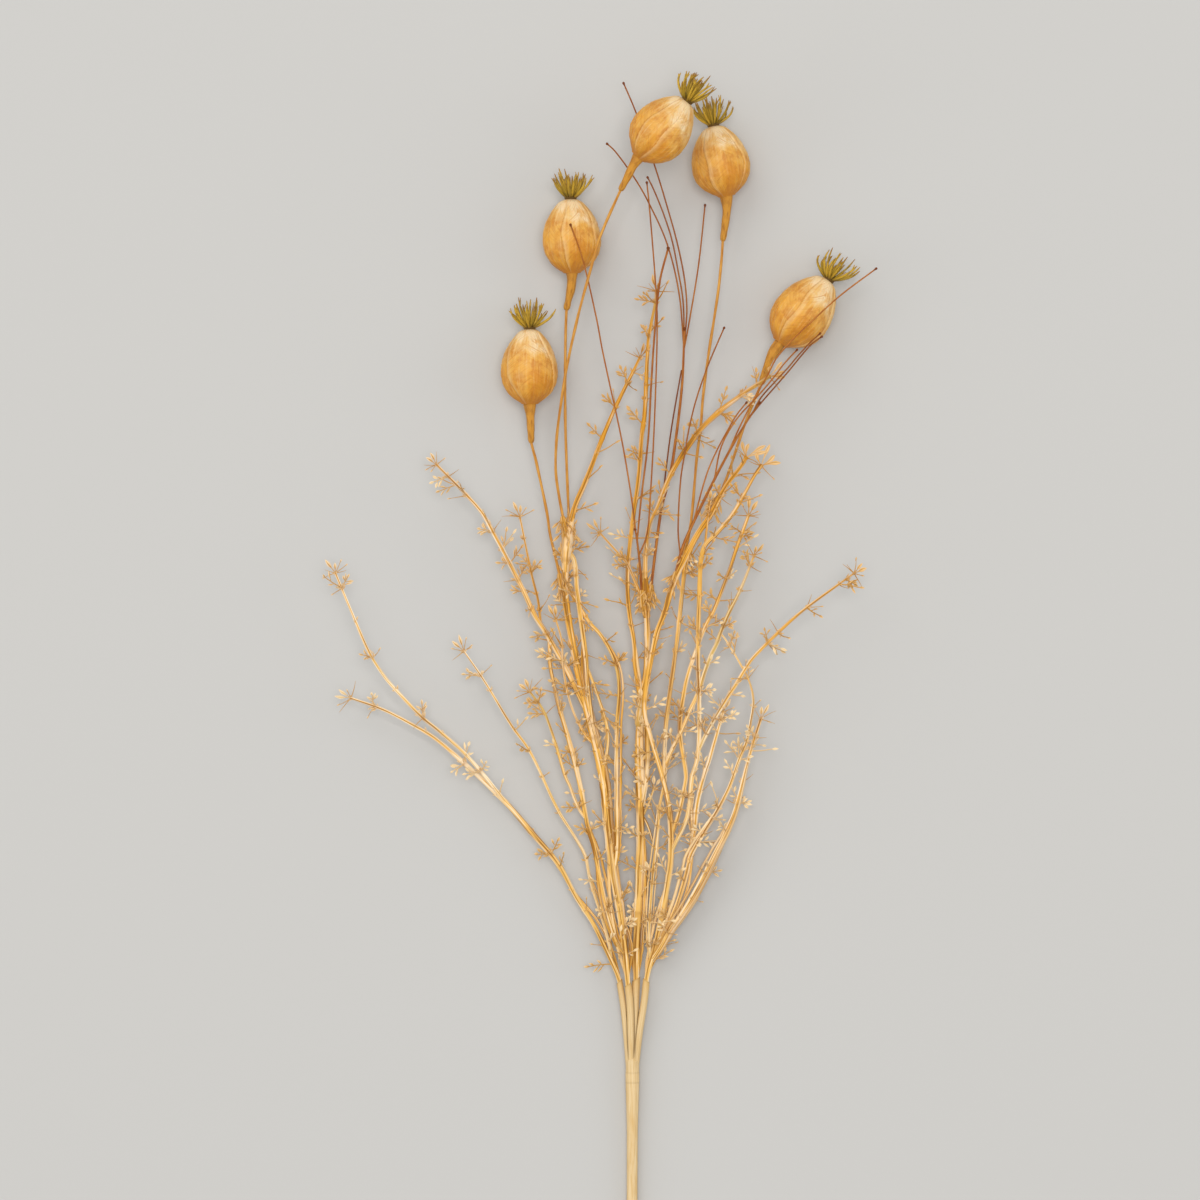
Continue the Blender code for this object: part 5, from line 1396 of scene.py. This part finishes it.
def dress_wisp(name, laid, hairs, material):
    draw = random.Random(name)
    form = Form()
    for key, (places, radii) in laid.items():
        fine, full = smooth_route(places, radii, 3.0)
        count = len(fine)
        shade = draw.uniform(0, 0.5) + (0.5 if key.startswith("dark") else 0)
        full = [radius * HAIR_SHARE * (1 - 0.05 * math.sin(1.7 * index) ** 2) for index, radius in enumerate(full)]
        tones = [(shade, index / (count - 1)) for index in range(count)]
        if hairs[key].knob:
            way = (fine[-1] - fine[-2]).normalized()
            tip, radius = fine[-1], full[-1]
            for out, share in ((-2.2, 1.0), (-1.6, 1.5), (-0.9, 1.75), (-0.3, 1.3), (0.0, 0.5)):
                fine.append(tip + way * out * 0.9)
                full.append(radius * share)
                tones.append((1, 1))
            del fine[count - 1], full[count - 1], tones[count - 1]
        sweep(form, fine, full, 6, tones)
    return form.piece(name + "_look", material, name)


# Main stem

def crevice(point, others):
    """How deep a point lies between other rods, from 0 to 1."""
    deep = 0
    for places, radius in others:
        gap = np.linalg.norm(places - np.array(point), axis=1).min() - radius
        deep = max(deep, math.exp(-(max(gap, 0) / CREVICE_REACH) ** 2))
    return deep


def dress_main_stem(feet, material):
    form = Form()
    places = [spot(x, y, height) for (x, y), height in zip(MAIN_STEM_ROUTE, MAIN_STEM_HEIGHTS)]
    fine, radii = smooth_route(places[::-1], MAIN_STEM_RADII[::-1], 0.6)
    upward = (fine[0] - fine[1]).normalized()
    shoulder = [(fine[0] + upward * out, radii[0] * share) for out, share in STEM_SHOULDER]
    fine = [place for place, _ in shoulder] + fine
    radii = [radius for _, radius in shoulder] + list(radii)
    spans = lengths_along(fine)
    rings = [sum(math.exp(-((span - ring) / 0.55) ** 2) for ring in TAPE_RINGS) for span in spans]

    def tape(angle, span):
        turn = (span / TAPE_PITCH + angle / (2 * math.pi)) % 1
        lip = 0.025 if TAPE_RINGS[0] < span < TAPE_RINGS[1] else 0
        return 1 + lip + 0.02 * (turn ** 3 - 0.3) + 0.012 * math.cos(7 * angle) + 0.008 * math.cos(17 * angle + 1)

    # Darker at the tape rings, with painted shade on the shoulder above the stem's top, which faces up to the lamps.
    tones = [(0.22 * min(ring, 1) + 0.16 * max(0, 1 - span / TAPE_RINGS[0]), 0) for ring, span in zip(rings, spans)]
    sweep(form, fine, [radius * 0.97 for radius in radii], 48, tones, tape)
    sleeves = {}
    for name, route in SLEEVES.items():
        foot_places, foot_radii = feet[name]
        sleeve, _ = lay_route(route, (foot_places[1].z, SLEEVE_BASE_HEIGHT), (1,))
        fine, _ = smooth_route(sleeve, [1] * len(sleeve), 1.2)
        sleeves[name] = fine, foot_radii[0] + 0.1, foot_radii[0] + GAP + SLEEVE_WALL * 0.3
    for name, (fine, inner, outer) in sleeves.items():
        others = [(np.array([tuple(place) for place in other]), radius)
                  for key, (other, _, radius) in sleeves.items() if key != name]
        dress_sleeve(form, fine, inner, outer, others, random.Random(name))
    in_order = [sleeves[name][0] for name in sorted(sleeves, key=lambda name: sleeves[name][0][0].x)]
    for left, right in zip(in_order, in_order[1:]):
        dress_web(form, left, right)
    return form.piece("main_stem_look", material, "main_stem")


def dress_web(form, left, right):
    """A pointed strip of tape that closes the gap between two sleeves low down."""
    route, radii = [], []
    for share in np.linspace(1, WEB_TOP, 22):
        first, second = (side[min(len(side) - 1, round(share * (len(side) - 1)))] for side in (left, right))
        middle = first.lerp(second, 0.5)
        route.append(Vector((middle.x, middle.y, min(first.z, second.z) - 0.6)))
        radii.append(0.2 + 0.8 * (share - WEB_TOP) / (1 - WEB_TOP))
    # Its tone darkens it a little, as painted shade between the sleeves.
    sweep(form, *rounded(route, radii), 10, [(0.15, 0.3)] * (len(route) + 4), number=0.4)


def dress_sleeve(form, fine, inner, outer, others, draw):
    """A taped tube that is open at its mouth, with painted shade inside the mouth and dark lines of painted shade
    where it meets the others.
    """
    down = (fine[1] - fine[0]).normalized()
    mouth = fine[0]
    places = [mouth + down * depth for depth in (6, 3, 0.4)] + [mouth, mouth + down * 0.4] + fine[1:]
    full = [inner, inner, inner, inner + 0.08, inner + 0.14]
    full += [outer * float(np.interp(span, *SLEEVE_TAPER)) for span in lengths_along(fine)[1:]]
    spans = lengths_along(places)
    slant = draw.choice((-1, 1)) * draw.uniform(0.8, 1.8)
    frames = frames_along(places[4:])
    frames = [frames[0]] * 4 + frames
    rings, tones = [], []
    for index, (place, radius, (side, up)) in enumerate(zip(places, full, frames)):
        ring, ring_tones = [], []
        span_left = spans[-1] - spans[index]
        for step in range(SLEEVE_SIDES):
            angle = 2 * math.pi * step / SLEEVE_SIDES
            reach = radius * (1 + 0.02 * math.cos(6 * angle) + 0.015 * math.cos(13 * angle + 0.5))
            point = place + (side * math.cos(angle) + up * math.sin(angle)) * reach
            below = (place - mouth).length
            point += down * slant * math.cos(angle) * math.exp(-below / 4)
            ring.append(point)
            # Painted shade: the inside of the mouth is dark, and the crevices where the sleeve meets the others; the
            # mouth's outer edge gets a short darker band.
            rim = 1 if index < 3 else 0.35 * math.exp(-(below / 0.5) ** 2)
            open_share = min(1, max(0, (span_left - SLEEVE_JOINED) / 9))
            ring_tones.append((max(rim, 0.95 * open_share * crevice(point, others)),
                               math.exp(-below / SLEEVE_FADE)))
        rings.append(ring)
        tones.append(ring_tones)
    form.skin(rings, spans, tones)


# Materials: colours change with the place on the surface, the tone and the object's height

class Shader:
    """A material's nodes, made and joined in short calls."""

    def __init__(self, name, roughness, gloss=0.5):
        self.material = bpy.data.materials.new(name + "_look")
        self.material["slot"] = name
        self.material.use_nodes = True
        self.tree = self.material.node_tree
        self.surface = self.tree.nodes["Principled BSDF"]
        self.surface.inputs["Roughness"].default_value = roughness
        self.surface.inputs["Specular IOR Level"].default_value = gloss

    def make(self, kind, settings=(), **inputs):
        node = self.tree.nodes.new(kind)
        for key, value in dict(settings).items():
            setattr(node, key, value)
        for key, value in inputs.items():
            self.fill(node.inputs[key.replace("_", " ")], value)
        return node

    def fill(self, socket, value):
        if isinstance(value, bpy.types.NodeSocket):
            self.tree.links.new(value, socket)
        else:
            socket.default_value = value

    def map(self, name, scale):
        """A UV map's coordinates, stretched."""
        where = self.make("ShaderNodeUVMap", {"uv_map": name}).outputs[0]
        return self.make("ShaderNodeMapping", Vector=where, Scale=scale).outputs[0]

    def tone(self):
        split = self.make("ShaderNodeSeparateXYZ", Vector=self.map("tone", (1, 1, 1)))
        return split.outputs[0], split.outputs[1]

    def along(self):
        """The object's three coordinates, in metres."""
        where = self.make("ShaderNodeTexCoord").outputs["Object"]
        split = self.make("ShaderNodeSeparateXYZ", Vector=where)
        return split.outputs[0], split.outputs[1], split.outputs[2]

    def noise(self, where, scale, detail=3, rough=0.55):
        node = self.make("ShaderNodeTexNoise", Vector=where, Scale=scale, Detail=detail, Roughness=rough)
        return node.outputs["Fac"]

    def ramp(self, value, stops):
        node = self.make("ShaderNodeValToRGB", Fac=value)
        points = node.color_ramp.elements
        while len(points) < len(stops):
            points.new(0.5)
        for point, (place, colour) in zip(points, stops):
            point.position = place
            point.color = (*colour, 1) if not isinstance(colour, float) else (colour, colour, colour, 1)
        return node.outputs[0]

    def spread(self, value, low, high, to_low=0.0, to_high=1.0):
        node = self.make("ShaderNodeMapRange", Value=value)
        for index, number in zip((1, 2, 3, 4), (low, high, to_low, to_high)):
            node.inputs[index].default_value = number
        return node.outputs[0]

    def blend(self, share, first, second, kind="MIX"):
        node = self.make("ShaderNodeMix", {"data_type": "RGBA", "blend_type": kind})
        self.fill(node.inputs[0], share)
        for socket, value in ((node.inputs[6], first), (node.inputs[7], second)):
            self.fill(socket, (*value, 1) if isinstance(value, tuple) else value)
        return node.outputs[2]

    def arith(self, operation, first, second):
        node = self.make("ShaderNodeMath", {"operation": operation})
        self.fill(node.inputs[0], first)
        self.fill(node.inputs[1], second)
        return node.outputs[0]

    def finish(self, colour, height, strength, distance):
        self.fill(self.surface.inputs["Base Color"], colour)
        bump = self.make("ShaderNodeBump", Height=height, Strength=strength, Distance=distance)
        self.fill(self.surface.inputs["Normal"], bump.outputs[0])
        return self.material


def twig_material():
    shader = Shader("golden_twig", 0.5, 0.15)
    pale, joint = shader.tone()
    sideways, height, _ = shader.along()
    far = shader.spread(height, -0.2, 0.22)
    rod = shader.noise(shader.map("place", (0.31, 0.004, 1)), 1.0, 1)
    colour = shader.ramp(shader.arith("ADD", far, shader.spread(rod, 0.35, 0.65, -0.4, 0.4)), TWIG_COLOURS)
    khaki = shader.noise(shader.map("place", (0.53, 0.006, 1)), 1.0, 1)
    colour = shader.blend(shader.spread(khaki, 0.56, 0.66, 0, 0.7), colour, TWIG_KHAKI)
    streak = shader.noise(shader.map("place", (7.5, 0.020, 1)), 1.0, 2)
    colour = shader.blend(shader.spread(streak, 0.53, 0.60, 0, 0.95), colour, TWIG_DEEP)
    right = shader.arith("MULTIPLY", shader.spread(sideways, 0.03, 0.07), shader.spread(height, 0.05, 0.01))
    outer = shader.arith("MAXIMUM", shader.arith("MULTIPLY", right, 0.62),
                         shader.spread(sideways, -0.03, -0.07, 0, 0.72))
    low = shader.spread(height, 0.12, -0.16, 0.15, 0.36)
    bleach = shader.arith("MAXIMUM", outer, low)
    # Narrow cream streaks along the rods are painted highlights, stronger where the twig is bleached.
    shine = shader.arith("MULTIPLY", shader.spread(streak, 0.46, 0.41, 0, 0.9), shader.spread(bleach, 0, 1, 0.36, 1))
    colour = shader.blend(shine, colour, TWIG_PAINTED_HIGHLIGHT)
    # The rods' flanks are painted as lit edges: painted shade along them where the twig is unbleached, then a
    # painted highlight, stronger where it is bleached.
    around = shader.make("ShaderNodeSeparateXYZ", Vector=shader.map("place", (4 * math.pi, 1, 1))).outputs[0]
    flank = shader.spread(shader.arith("COSINE", around, 0.0), -0.9, -0.45)
    patch = shader.noise(shader.map("place", (0.9, 0.010, 1)), 1.0, 2)
    patch = shader.arith("MAXIMUM", shader.spread(patch, 0.5, 0.62), outer)
    flank = shader.arith("MULTIPLY", flank, patch)
    edge = shader.arith("MULTIPLY", flank, shader.spread(bleach, 0.5, 0.1, 0, 0.6))
    colour = shader.blend(edge, colour, TWIG_DEEP)
    flank = shader.arith("MULTIPLY", flank, shader.spread(bleach, 0, 1, 0.3, 1))
    colour = shader.blend(flank, colour, TWIG_PAINTED_HIGHLIGHT)
    colour = shader.blend(shader.arith("MULTIPLY", joint, 0.6), colour, TWIG_DEEP)
    colour = shader.blend(shader.arith("MULTIPLY", pale, 0.85), colour, TRIM_CREAM)
    return shader.finish(colour, streak, 0.4, 0.0004)


def pod_material():
    shader = Shader("papery_pod", 0.5, 0.35)
    rise, neck = shader.tone()
    place = shader.make("ShaderNodeSeparateXYZ", Vector=shader.map("place", (1, 1, 1)))
    turn, share = place.outputs[0], place.outputs[1]
    wash = shader.noise(shader.map("place", (5, 2.2, 1)), 1.0, 4, 0.6)
    # Paler at the crown end and deeper towards the neck: partly the pod's own colour, partly painted highlight at
    # the crown end and painted shade at the neck end.
    shifted = shader.arith("ADD", share, shader.spread(wash, 0.36, 0.64, -0.32, 0.32))
    colour = shader.ramp(shifted, POD_COLOURS)
    stain = shader.noise(shader.map("place", (15, 5, 1)), 1.0, 6, 0.65)
    ripe = shader.spread(shifted, 0.05, 0.45, 0.15, 1)
    stained = shader.arith("MULTIPLY", shader.spread(stain, 0.47, 0.62, 0, 0.7), ripe)
    colour = shader.blend(stained, colour, POD_DEEP)
    veins = shader.noise(shader.map("place", (90, 2.0, 1)), 1.0, 3)
    colour = shader.blend(shader.spread(veins, 0.55, 0.72, 0, 0.4), colour, POD_DEEP)
    colour = shader.blend(shader.spread(veins, 0.45, 0.3, 0, 0.35), colour, POD_CREAM)
    outward = shader.arith("ABSOLUTE", shader.arith("SUBTRACT", rise, 0.5), 0.0)
    slant = shader.arith("SUBTRACT", share, shader.arith("MULTIPLY", outward, 0.42))
    across = shader.make("ShaderNodeCombineXYZ", X=shader.arith("MULTIPLY", slant, 46.0),
                         Y=shader.arith("MULTIPLY", turn, 7.0)).outputs[0]
    feather = shader.noise(across, 1.0, 3)
    colour = shader.blend(shader.spread(feather, 0.54, 0.68, 0, 0.5), colour, POD_DEEP)
    # Cream along each petal's lip is a painted highlight; the dark line just past it is painted shadow.
    colour = shader.blend(shader.spread(rise, 0.86, 0.96, 0, 0.35), colour, POD_CREAM)
    colour = shader.blend(shader.spread(rise, 0.05, 0.0, 0, 0.55), colour, POD_SHADOW)
    colour = shader.blend(shader.spread(share, 0.9, 0.985, 0, 0.55), colour, POD_DEEP)
    bare = shader.noise(shader.map("place", (6, 0.12, 1)), 1.0, 4)
    bark = shader.blend(shader.spread(bare, 0.46, 0.66, 0, 0.85), NECK_GOLD, NECK_DEEP)
    colour = shader.blend(neck, colour, bark)
    crinkle = shader.noise(shader.map("place", (40, 26, 1)), 1.0, 3)
    relief = shader.arith("ADD", shader.arith("ADD", veins, feather), shader.arith("MULTIPLY", crinkle, 0.7))
    shader.surface.inputs["Subsurface Weight"].default_value = 0.08
    shader.surface.inputs["Subsurface Radius"].default_value = (0.004, 0.002, 0.001)
    return shader.finish(colour, relief, 0.5, 0.0006)


def bristle_material():
    shader = Shader("olive_bristle", 0.55, 0.25)
    shade, share = shader.tone()
    # Darker towards the bristles' bases: partly their own colour, partly painted shade where they crowd into the
    # crown. BRISTLE_DARK also darkens the grain.
    colour = shader.ramp(share, BRISTLE_COLOURS)
    colour = shader.blend(shader.spread(shade, 0.4, 0.6, 0, 0.9), colour, BRISTLE_GOLD)
    colour = shader.blend(shader.spread(share, 0.32, 0.05, 0, 0.9), colour, BRISTLE_DARK)
    colour = shader.blend(shader.spread(share, 0.82, 1.0, 0, 0.6), colour, BRISTLE_TIP)
    grain = shader.noise(shader.map("place", (4, 0.3, 1)), 1.0)
    colour = shader.blend(shader.spread(grain, 0.5, 0.64, 0, 0.6), colour, BRISTLE_DARK)
    return shader.finish(colour, grain, 0.3, 0.0003)


def wire_material(name, plain, deep, light):
    shader = Shader(name, 0.5, 0.15)
    shade, share = shader.tone()
    grain = shader.noise(shader.map("place", (3, 0.09, 1)), 1.0, 4)
    colour = shader.blend(shader.spread(grain, 0.35, 0.65), light, plain)
    colour = shader.blend(shader.spread(grain, 0.6, 0.85, 0, 0.8), colour, deep)
    colour = shader.blend(shader.arith("MULTIPLY", shade, 0.85), colour, deep)
    return shader.finish(colour, grain, 0.25, 0.0003)


def tape_material():
    shader = Shader("straw_tape", 0.62)
    painted_shade_and_rings, mouth = shader.tone()
    fibre = shader.noise(shader.map("place", (26, 0.05, 1)), 1.0, 4)
    patch = shader.noise(shader.map("place", (3, 0.03, 1)), 1.0)
    colour = shader.blend(shader.spread(fibre, 0.4, 0.6), STRAW_LIGHT, STRAW_PLAIN)
    colour = shader.blend(shader.spread(fibre, 0.56, 0.68, 0, 0.5), colour, STRAW_DEEP)
    colour = shader.blend(shader.spread(patch, 0.5, 0.7, 0, 0.6), colour, STRAW_DEEP)
    colour = shader.blend(shader.arith("MULTIPLY", mouth, 0.75), colour, STRAW_GOLD)
    # Painted shade inside the sleeves' mouths, in the crevices between sleeves and on the stem's shoulder, plus
    # darker tape rings and mouth edges.
    colour = shader.blend(shader.arith("MULTIPLY", painted_shade_and_rings, 0.85), colour, STRAW_DARK)
    return shader.finish(colour, fibre, 0.5, 0.0004)


# Colours, from the photograph, as linear red, green and blue
TWIG_COLOURS = ((0, (0.76, 0.45, 0.118)), (0.3, (0.78, 0.43, 0.088)), (0.6, (0.73, 0.365, 0.050)),
                (1, (0.61, 0.272, 0.020)))
# TWIG_DEEP colours dark streaks, dark joints and the painted shade on the rods' flanks; TWIG_PAINTED_HIGHLIGHT is
# the cream of painted highlights.
TWIG_DEEP = (0.31, 0.122, 0.010)
TWIG_KHAKI = (0.52, 0.35, 0.10)
TWIG_PAINTED_HIGHLIGHT = (0.92, 0.79, 0.585)
TRIM_CREAM = (0.86, 0.66, 0.38)
POD_COLOURS = ((0.0, (0.80, 0.60, 0.34)), (0.2, (0.74, 0.45, 0.15)), (0.42, (0.71, 0.37, 0.07)),
               (0.75, (0.70, 0.32, 0.03)), (1.0, (0.60, 0.235, 0.015)))
POD_DEEP = (0.50, 0.175, 0.014)
POD_CREAM = (0.81, 0.57, 0.27)
POD_SHADOW = (0.30, 0.095, 0.010)
NECK_GOLD = (0.60, 0.27, 0.026)
NECK_DEEP = (0.34, 0.12, 0.010)
BRISTLE_COLOURS = ((0.0, (0.16, 0.10, 0.012)), (0.35, (0.36, 0.235, 0.018)), (0.75, (0.38, 0.225, 0.018)),
                   (1.0, (0.30, 0.14, 0.02)))
BRISTLE_GOLD = (0.56, 0.345, 0.030)
BRISTLE_DARK = (0.10, 0.05, 0.006)
BRISTLE_TIP = (0.30, 0.13, 0.02)
STRAW_PLAIN = (0.63, 0.43, 0.19)
STRAW_LIGHT = (0.72, 0.535, 0.285)
STRAW_DEEP = (0.60, 0.37, 0.12)
STRAW_DARK = (0.16, 0.085, 0.018)
STRAW_GOLD = (0.62, 0.36, 0.09)
WIRE_PLAIN = (0.44, 0.17, 0.022)
WIRE_DEEP = (0.21, 0.058, 0.008)
WIRE_LIGHT = (0.62, 0.31, 0.06)
RED_PLAIN = (0.28, 0.068, 0.008)
RED_DEEP = (0.13, 0.026, 0.004)
RED_LIGHT = (0.50, 0.19, 0.025)
FLOOR_GREY = (0.50, 0.49, 0.468)

# Sizes of what the looks add, in millimetres or shares
LEAFLET_DEPTH = 0.3
LEAF_DEEP = 0.2
PALE_MIDDLE = 0.14
PALE_OUTER = 0.75
PALE_REACH = 80
PALE_TOP = 50
PALE_FADE = 90
SPOON_CORNER = (700, 475)
TWIG_SIDES = (324, 872)
FINE_PITCH = (9, 26)
FINE_PITCHES = {"twig_left": (16, 36)}
FINE_COUNT = (1, 1, 2, 2, 3)
FINE_COUNTS = {"twig_left": (0, 1, 1)}
FINE_TRIES = 8
SPOONS_PER_ROD = 1
FINE_STRANDS = 3
STRAND_BLEND = 6
THIN_BRANCH = 1.4
FEET_BELOW = 930
COMPANION_STEPS = (32, 68)
THICK_STRANDS_BELOW = 640
FINE_FOOT_PIXEL = 972
FOOT_SPRIGS = {"twig_left": (((611, 972), (591, 967)),), "twig_right": (((651, 960), (668, 953)),)}
STEM_SHARE = 0.86
SLEEVE_MOUTH_PIXEL = 976
NEEDLE_SHARE = 0.35
WHORL_REACH = 1.3
ROD_SHARE = 0.94
HAIR_SHARE = 0.98
TAPE_PITCH = 9.0
STEM_SHOULDER = (7.5, 0.1), (5.5, 0.33), (3.5, 0.52), (1.8, 0.7), (0.6, 0.86)
TAPE_RINGS = (15.3, 21.8)
SLEEVE_SIDES = 40
SLEEVE_TAPER = (0, 5, 20, 45), (0.88, 0.94, 0.92, 1.0)
WEB_TOP = 0.5
SLEEVE_FADE = 9.0
SLEEVE_JOINED = 8.0
CREVICE_REACH = 0.45
POD_STEP = 0.75
POD_PETALS = 5
POD_ROWS = 120
POD_COLUMNS = 256
FINE_BRISTLES = 6
FORKED_BRISTLES = 0.4
HIGHEST_BRISTLE = 71.2

# Camera, straight above the picture's middle, and lights
PICTURE_MIDDLE = (600, 600)
PICTURE_WIDTH = 1200
LENS = 200.0
SENSOR = 36.0
SUBJECT_HEIGHT = 20.0
FLOOR_REACH = 16.0


def dress_everything():
    twigs, poppies, crowns, wisps, trims, surroundings = lay_everything()
    sockets = {name: [] for name in TWIGS}
    for number, poppy in POPPIES.items():
        sockets[poppy.host].append(poppies[number][2])
    for name, (host, _) in WISPS.items():
        sockets[host].append(list(reversed(wisps[name]["stem"][0])))
    golden = twig_material()
    feet = {}
    for name, laid in twigs.items():
        feet[name] = laid["main" if "main" in laid else "low"]
        dress_twig(name, laid, trims[name], sockets[name], surroundings, golden)
    dress_main_stem(feet, tape_material())
    papery = pod_material()
    olive = bristle_material()
    brown = wire_material("brown_wire", WIRE_PLAIN, WIRE_DEEP, WIRE_LIGHT)
    red = wire_material("red_wire", RED_PLAIN, RED_DEEP, RED_LIGHT)
    for number, poppy in POPPIES.items():
        dress_pod(number, poppy, poppies[number], papery)
        dress_crown(number, poppy, crowns[number], olive)
        _, _, stem, radii = poppies[number]
        dress_stem(f"poppy_stem_{number}", stem, radii, brown)
    for name, (_, hairs) in WISPS.items():
        dress_wisp(name, wisps[name], hairs, red)


def make_floor():
    form = bmesh.new()
    bmesh.ops.create_grid(form, x_segments=1, y_segments=1, size=FLOOR_REACH)
    mesh = bpy.data.meshes.new("floor")
    form.to_mesh(mesh)
    form.free()
    shader = Shader("pale_floor", 0.95)
    shader.surface.inputs["Base Color"].default_value = (*FLOOR_GREY, 1)
    mesh.materials.append(shader.material)
    floor = bpy.data.objects.new("floor", mesh)
    bpy.context.scene.collection.objects.link(floor)


def make_lamp(name, place, size, power, colour=(1, 1, 1)):
    lamp = bpy.data.lights.new(name, "AREA")
    lamp.size = size
    lamp.energy = power
    lamp.color = colour
    item = bpy.data.objects.new(name, lamp)
    item.location = place
    item.rotation_euler = (Vector((0, 0.05, 0)) - Vector(place)).to_track_quat("-Z", "Y").to_euler()
    bpy.context.scene.collection.objects.link(item)


def make_studio():
    world = bpy.data.worlds.new("studio")
    world.use_nodes = True
    sky = world.node_tree.nodes["Background"]
    sky.inputs["Color"].default_value = (1, 1, 1, 1)
    sky.inputs["Strength"].default_value = SKY_STRENGTH
    bpy.context.scene.world = world
    for lamp in LAMPS:
        make_lamp(*lamp)
    middle = spot(*PICTURE_MIDDLE, SUBJECT_HEIGHT) * MM
    camera = bpy.data.cameras.new("camera")
    camera.lens = LENS
    camera.sensor_width = SENSOR
    camera.clip_end = 50
    item = bpy.data.objects.new("camera", camera)
    item.location = middle + Vector((0, 0, PICTURE_WIDTH * PIXEL * LENS / SENSOR))
    bpy.context.scene.collection.objects.link(item)
    bpy.context.scene.camera = item
    bpy.context.scene.view_settings.view_transform = "Standard"


SKY_STRENGTH = 0.54
LAMPS = (
    ("key", (-3.3, 5.7, 6.0), 6.6, 257),
    ("above", (0.3, 0.6, 9.6), 4.2, 436),
    ("fill", (6.0, 0.6, 2.7), 3.6, 61),
    ("low", (-6.0, -1.5, 2.1), 3.6, 49),
)

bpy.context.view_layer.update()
dress_everything()
make_floor()
make_studio()
bpy.context.view_layer.update()
